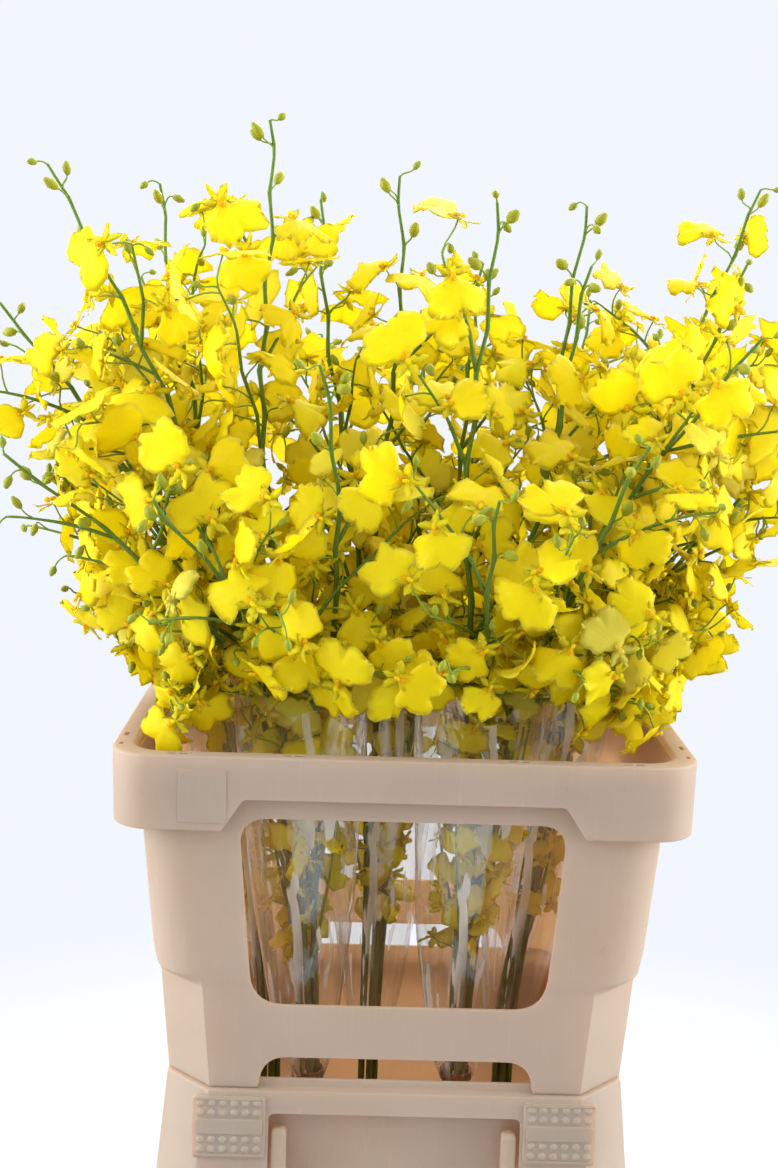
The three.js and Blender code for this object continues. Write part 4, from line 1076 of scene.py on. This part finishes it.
crest = blob([0, -1.6, 1.6], [2.3, 2.8, 1.4], 3, 7, 0.3)
column = blob([0, 2.6, 2.2], [1.5, 2.4, 2.0], 3, 5)
one_lip = lip_points(1, np.random.default_rng(0))[0]
one_petal = petal_points(1, np.random.default_rng(0))[0][:2 + 4 * len(PETAL_STATIONS)]
parts = [(points, outwards(points, ring_faces(rings, around)))
         for points, rings, around, copies in ((one_lip, len(LIP_RINGS), LIP_COLUMNS, 1),
                                               (one_petal, len(PETAL_STATIONS), 4, 5),
                                               (crest, 3, 7, 1), (column, 3, 5, 1)) for _ in range(copies)]
bloom_faces = joined(parts)[1]
side_of = np.concatenate([np.concatenate([[-1], np.repeat(LIP_SIDES, LIP_COLUMNS), [1]]),
                          np.tile(np.concatenate([[0], np.tile([0, 1, 0, -1], len(PETAL_STATIONS)), [0]]), 5),
                          np.ones(len(crest) + len(column))])
LIP, PETAL, CREST, COLUMN = 0.0, 0.5, 1.0, 0.75       # kinds of tissue
kind_of = np.repeat([LIP, PETAL, CREST, COLUMN],
                    [len(one_lip), 5 * len(one_petal), len(crest), len(column)])

petal_skin, tree = blank_material("oncidium petal, fresh")
face_of, kind, tone, warmth = (node(tree, "Attribute", attribute_name=name).outputs["Fac"]
                               for name in ("face", "kind", "tone", "blush"))
at = node(tree, "TexCoord").outputs["Object"]
own = node(tree, "SeparateXYZ", {0: node(tree, "UVMap")})
# The face is a full yellow from lemon to gold, the back a paler, greener one.
faces_of = [node(tree, "Mix", {"Factor": tone, "A": linear(light), "B": linear(deep)}, data_type="RGBA")
            for light, deep in (("#F4F262", "#F1EC44"), ("#F6EE1C", "#F4E40C"))]
flesh = node(tree, "Mix", {"Factor": node(tree, "MapRange", {"Value": face_of,
             "From Min": -1.0, "From Max": 0.2}), "A": faces_of[0], "B": faces_of[1]}, data_type="RGBA")
# The lip's frilled edge is painted paler: painted light that stands for the glow shining through its thin
# edge.
thin = node(tree, "Math", {0: face_of}, operation="ABSOLUTE")
painted_edge_light = node(tree, "MapRange", {"Value": thin, "From Min": 0.1, "From Max": 0.55, "To Min": 0.5,
                 "To Max": 0.0})
is_lip, is_small = (node(tree, "Math", {0: kind, 1: number, 2: 0.1}, operation="COMPARE")
                    for number in (LIP, PETAL))
edge = node(tree, "Math", {0: is_lip, 1: painted_edge_light}, operation="MULTIPLY")
# Clouds of gold 7 mm across, a warm flush round the crest, and brown specks of 1 to 2 mm on it.
cloud = node(tree, "TexNoise", {"Vector": at, "Scale": 140.0, "Detail": 3.0})
mottled = node(tree, "MapRange", {"Value": cloud, "From Min": 0.35, "From Max": 0.7, "To Max": 0.3})
warmed = node(tree, "MapRange", {"Value": warmth, "From Min": 0.15, "From Max": 0.95,
              "To Max": 0.85})
specks = node(tree, "TexVoronoi", {"Vector": at, "Scale": 620.0, "Randomness": 1.0})
speck = node(tree, "MapRange", {"Value": specks, "From Min": 0.5, "From Max": 0.22})
speckled = node(tree, "Math", {0: speck, 1: warmth}, operation="MULTIPLY")
# The five small petals are greener than the lip, and one bloom in fifteen has paled.
greened = node(tree, "Math", {0: is_small, 1: 0.5}, operation="MULTIPLY")
paled = node(tree, "MapRange", {"Value": tone, "From Min": 0.93, "From Max": 0.94, "To Max": 0.55})
# The first layer is the painted light on the lip's edge; the others are the petals' own colours.
for share, layer in ((edge, "#FFF66A"), (mottled, "#F3D806"), (warmed, "#EDA818"), (speckled, "#B4681A"),
                     (greened, "#CFCB2C"), (paled, "#E4E476")):
    flesh = node(tree, "Mix", {"Factor": share, "A": flesh, "B": linear(layer)}, data_type="RGBA")
# Veins fan out from the waist, about 1.5 mm apart at the edge.
fan = node(tree, "Math", {0: own.outputs["X"], 1: own.outputs["Y"]}, operation="ARCTAN2")
veins = node(tree, "Math", {0: node(tree, "Math", {0: fan, 1: 34.0}, operation="MULTIPLY")}, operation="SINE")
faint = node(tree, "Math", {0: veins, 1: 0.1}, operation="MULTIPLY")
relief = node(tree, "Math", {0: faint, 1: cloud}, operation="ADD")
skin_normal = node(tree, "Bump", {"Height": relief, "Strength": 0.25, "Distance": 0.001})
waxy = node(tree, "BsdfPrincipled", {"Base Color": flesh, "Roughness": 0.46, "IOR": 1.42,
            "Specular IOR Level": 0.22, "Normal": skin_normal})
shone_through = node(tree, "BsdfTranslucent", {"Color": node(tree, "Mix", {"Factor": 0.35, "A": flesh,
                     "B": linear("#FFE93A")}, data_type="RGBA"), "Normal": skin_normal})
node(tree, "OutputMaterial", {"Surface": node(tree, "MixShader", {0: 0.56, 1: waxy, 2: shone_through})})

chances = np.random.default_rng(7)
for spray in sprays:
    blooms = blooms_of(spray)
    count = len(spray["blooms"])
    own_points = np.concatenate([lip_points(count, chances), petal_points(count, chances),
                                 np.broadcast_to(crest, (count, *crest.shape)),
                                 np.broadcast_to(column, (count, *column.shape))], 1)
    width, lip, face, waist = (blooms[key][:, None] for key in ("width", "lip", "face", "waist"))
    placed = waist + (own_points[..., :1] * width - own_points[..., 1:2] * lip
                      + own_points[..., 2:] * face) * blooms["scale"][:, None]
    distance = np.hypot(own_points[..., 0] * 1.2, own_points[..., 1] + 1)
    # The warm flush fades with the distance from the crest, and is even on crest and column.
    blush = np.select([kind_of == LIP, kind_of == PETAL, kind_of == CREST],
                      [0.6 * np.exp(-(distance / 3.2) ** 2), 0.14 * np.exp(-((distance - 4) / 4) ** 2), 0.6],
                      0.2)
    size = own_points.shape[1]
    faces = (bloom_faces[None] + np.arange(count)[:, None, None] * size).reshape(-1, 3)
    flowers = mesh_object(spray["name"] + "_blooms", swayed(placed, spray).reshape(-1, 3), faces, petal_skin,
                          {"face": np.tile(side_of, count), "kind": np.tile(kind_of, count),
                           "tone": np.repeat(chances.uniform(0, 1, count), size), "blush": blush},
                          uv=own_points[..., :2].reshape(-1, 2) / 40)
    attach(flowers, "root")
    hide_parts(spray["name"])

# ---- Flower sprays: stems and buds --------------------------------------------------------
# Wiry green stems, thickened at each joint, branch into thin shoots. Each bloom hangs from them
# on a curved stalk, and the tips carry pointed olive buds. The cut feet stand in the water.
STEM_SIDES, STALK_SIDES = 7, 5


def smooth_path(points, spacing):
    """A Catmull-Rom curve through the points, with samples about the spacing apart. Also returns
    how far along each sample lies, from 0 to 1."""
    points = np.vstack([2 * points[0] - points[1], points, 2 * points[-1] - points[-2]])
    pieces = []
    for k in range(1, len(points) - 2):
        steps = max(2, round(np.linalg.norm(points[k + 1] - points[k]) / spacing))
        t = (np.arange(steps) / steps)[:, None]
        before, start, end, after = points[k - 1:k + 3]
        pieces.append(0.5 * (2 * start + (end - before) * t
                             + (2 * before - 5 * start + 4 * end - after) * t ** 2
                             + (3 * start - before - 3 * end + after) * t ** 3))
    path = np.vstack([*pieces, points[-2]])
    run = np.concatenate([[0], np.cumsum(np.linalg.norm(np.diff(path, axis=0), axis=1))])
    return path, run / run[-1]


def shortened(path):
    """The path with its end drawn back by 11 mm, to leave room for the buds."""
    return np.vstack([path[:-1], path[-1] - 11 * unit(path[-1] - path[-2])])


def tubes(paths, radii, side, around):
    """Round tubes (tube, point, 3) along paths (tube, station, 3): each ring is square to the path
    and starts towards side, and each end closes on a pole."""
    tangent = unit(np.gradient(paths, axis=1))
    normal = unit(square_to(side[:, None], tangent))
    angle = full_turn(around)[:, None]
    ring = (paths[:, :, None] + radii[:, :, None, None]
            * (normal[:, :, None] * np.cos(angle) + np.cross(tangent, normal)[:, :, None] * np.sin(angle)))
    first = paths[:, :1] - tangent[:, :1] * radii[:, :1, None] * 0.3
    last = paths[:, -1:] + tangent[:, -1:] * radii[:, -1:, None] * 0.5
    points = np.concatenate([first, ring.reshape(len(paths), -1, 3), last], 1)
    faces = outwards(points[0], ring_faces(paths.shape[1], around))
    faces = (faces[None] + np.arange(len(paths))[:, None, None] * points.shape[1]).reshape(-1, 3)
    return points.reshape(-1, 3), faces


def stalked(root, leaves, ends, tip_direction, thick, stations):
    """Curved stalks (n, station, 3) on cubic curves from root, leaving one way and arriving another."""
    t = np.linspace(0, 1, stations)[None, :, None]
    span = np.linalg.norm(ends - root, axis=-1, keepdims=True)
    first, second = root + leaves * span * 0.42, ends - tip_direction * span * 0.38
    path = ((1 - t) ** 3 * root[:, None] + 3 * t * (1 - t) ** 2 * first[:, None]
            + 3 * t * t * (1 - t) * second[:, None] + t ** 3 * ends[:, None])
    return path, np.broadcast_to(np.linspace(thick, thick * 0.8, stations), (len(root), stations))


def any_side(vectors):
    """A unit vector square to each: its cross product with whichever of X and Z it leans on less."""
    other = np.where(np.abs(vectors[:, 2:]) > 0.8, [[1.0, 0, 0]], [[0, 0, 1.0]])
    return unit(np.cross(vectors, other))


BUD_STATIONS = np.array([0.02, 0.2, 0.5, 0.86])
BUD_SHAPE = np.array([0.32, 0.82, 1.0, 0.45])
BUD_SIDES = 6
TIP_BUDS = np.array([0.0, 17.0])  # how much further from the tip the second bud branches off


def buds_on(foot, direction, length, radius):
    """Buds that swell to their radius half-way along."""
    path = foot[:, None] + direction[:, None] * (BUD_STATIONS[None, :, None] * length[:, None, None])
    return tubes(path, BUD_SHAPE[None] * radius[:, None], any_side(direction), BUD_SIDES)


stem_skin, tree = blank_material("orchid stem, fresh")
tint = node(tree, "Attribute", attribute_name="tint").outputs["Fac"]
at = node(tree, "TexCoord").outputs["Object"]
# Old green at the cut foot, fresh green above, yellow-green stalks, olive buds: tint 0 to 1.
green = node(tree, "ValToRGB", {0: tint}, stops=((0.0, "#4E5028"), (0.25, "#525F26"), (0.5, "#567420"),
             (0.72, "#7E942A"), (0.9, "#8C9120"), (1.0, "#B4A81E")))
flecks = node(tree, "TexNoise", {"Vector": at, "Scale": 420.0, "Detail": 4.0, "Roughness": 0.65})
length_lines = node(tree, "TexNoise", {"Vector": node(tree, "Mapping", {"Vector": at,
                    "Scale": (1500, 1500, 60)}), "Scale": 1.0, "Detail": 2.0})
# Stalks and buds are smooth, so the flecks and lines fade out on them.
rough_part = node(tree, "MapRange", {"Value": tint, "From Min": 0.45, "From Max": 0.75, "To Min": 1.0,
                  "To Max": 0.12})
fleck = node(tree, "MapRange", {"Value": flecks, "From Min": 0.58, "From Max": 0.74, "To Max": 0.5})
line = node(tree, "MapRange", {"Value": length_lines, "From Min": 0.4, "From Max": 0.7, "To Max": 0.25})
for marks, layer in ((fleck, "#6B4A22"), (line, "#8FA63C")):
    share = node(tree, "Math", {0: rough_part, 1: marks}, operation="MULTIPLY")
    green = node(tree, "Mix", {"Factor": share, "A": green, "B": linear(layer)}, data_type="RGBA")
ribs = node(tree, "Math", {0: length_lines, 1: rough_part}, operation="MULTIPLY")
stem_normal = node(tree, "Bump", {"Height": ribs, "Strength": 0.12, "Distance": 0.0004})
node(tree, "OutputMaterial", {"Surface": node(tree, "BsdfPrincipled", {
    "Base Color": green, "Roughness": 0.5, "IOR": 1.45, "Specular IOR Level": 0.25, "Normal": stem_normal})})

for spray in sprays:
    # The main stem, with a knuckle each 74 mm below the sleeve's mouth and one at each joint.
    path, _ = smooth_path(shortened(spray["path"]), 8.0)
    height = path[:, 2]
    thick = np.interp(height, [0, 560, spray["tip"][2]], [2.8, 2.5, 1.05])
    knuckles = np.concatenate([np.arange(130.0, 570, 74), [place[2] for _, place, _ in spray["joints"]]])
    swell = np.exp(-((height[:, None] - knuckles[None] - 1) / 2.6) ** 2).sum(1)
    stem_tint = np.interp(height, [0, 300, 560, 760], [0.0, 0.16, 0.34, 0.5])
    part = tubes(path[None], (thick * (1 + 0.3 * swell))[None], spray["outward"][None], STEM_SIDES)
    pieces = [(part, np.concatenate([[0], np.repeat(stem_tint, STEM_SIDES), [0.5]]))]

    # Side shoots, with two knuckles on each span.
    for shoot in spray["shoots"]:
        path, along = smooth_path(shortened(shoot), 9.5)
        beads = np.exp(-((along[:, None] * (len(shoot) - 1) % 0.5 - 0.25) / 0.05) ** 2).sum(1)
        thick = np.interp(along, [0, 0.08, 1], [1.1, 1.5, 0.8]) * (1 + 0.22 * beads)
        part = tubes(path[None], thick[None], DOWN[None], STALK_SIDES)
        shoot_tint = np.repeat(np.interp(along, [0, 1], [0.4, 0.6]), STALK_SIDES)
        pieces.append((part, np.concatenate([[0.4], shoot_tint, [0.6]])))

    # Two buds near every tip, on stalks that hook up or down.
    for path in [spray["path"]] + spray["shoots"]:
        direction = unit(path[-1] - path[-2])
        foot_points = path[-1] - direction * (11.5 + TIP_BUDS[:, None])
        aside = any_side(direction[None])
        turn = chances.uniform(0, 6.3) + np.array([[0], [2.6]])
        aside = aside * np.cos(turn) + np.cross(direction, aside) * np.sin(turn)
        out = unit(aside + direction * chances.uniform(0.1, 1.0, (2, 1)))
        ends = foot_points + out * (chances.uniform(7, 12.5, (2, 1)) + 0.05 * TIP_BUDS[:, None])
        onward = out * chances.uniform(0.3, 1.0, (2, 1))
        bud_way = unit(onward - DOWN * chances.uniform(-1.0, 1.2, (2, 1)))
        stalks = tubes(*stalked(foot_points, unit(out + direction), ends, bud_way, 0.7, 6), any_side(out),
                       STALK_SIDES)
        buds = buds_on(ends - bud_way * 0.3, bud_way, 8.8 + 0.11 * TIP_BUDS, 2.7 + 0.03 * TIP_BUDS)
        bud_tint = np.repeat(0.86 + 0.0025 * TIP_BUDS, 2 + BUD_SIDES * len(BUD_STATIONS))
        pieces += [(stalks, 0.66), (buds, bud_tint)]

    # The two large buds below the tip.
    if spray["buds"]:
        root, direction, along_ = (np.array(v) for v in zip(*spray["buds"]))
        ends = root + direction * 11
        bud_way = unit(direction - DOWN * chances.uniform(-0.9, 0.9, (len(root), 1)))
        stalks = tubes(*stalked(root, unit(direction + along_), ends, bud_way, 0.75, 6), any_side(direction),
                       STALK_SIDES)
        buds = buds_on(ends - bud_way * 0.4, bud_way, np.full(len(root), 13.5), np.full(len(root), 4.0))
        pieces += [(stalks, 0.68), (buds, 0.92)]

    # Stalks of the blooms: they leave along the stem and arrive behind the column.
    blooms = blooms_of(spray)
    ends = blooms["waist"] + blooms["face"] * -0.9 * blooms["scale"]
    leaves = unit(blooms["stalk"] + 0.6 * blooms["along"])
    arrive = unit(blooms["face"] + 0.5 * blooms["stalk"])
    stalks = tubes(*stalked(blooms["root"], leaves, ends, arrive, 0.75, 5), any_side(blooms["stalk"]), 4)
    pieces.append((stalks, 0.74))

    points, faces = joined([part for part, _ in pieces])
    tints = np.concatenate([np.broadcast_to(tint, len(part[0])) for part, tint in pieces])
    stems = mesh_object(spray["name"] + "_stems", swayed(points, spray), faces, stem_skin, {"tint": tints})
    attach(stems, "root")
    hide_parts(spray["name"])
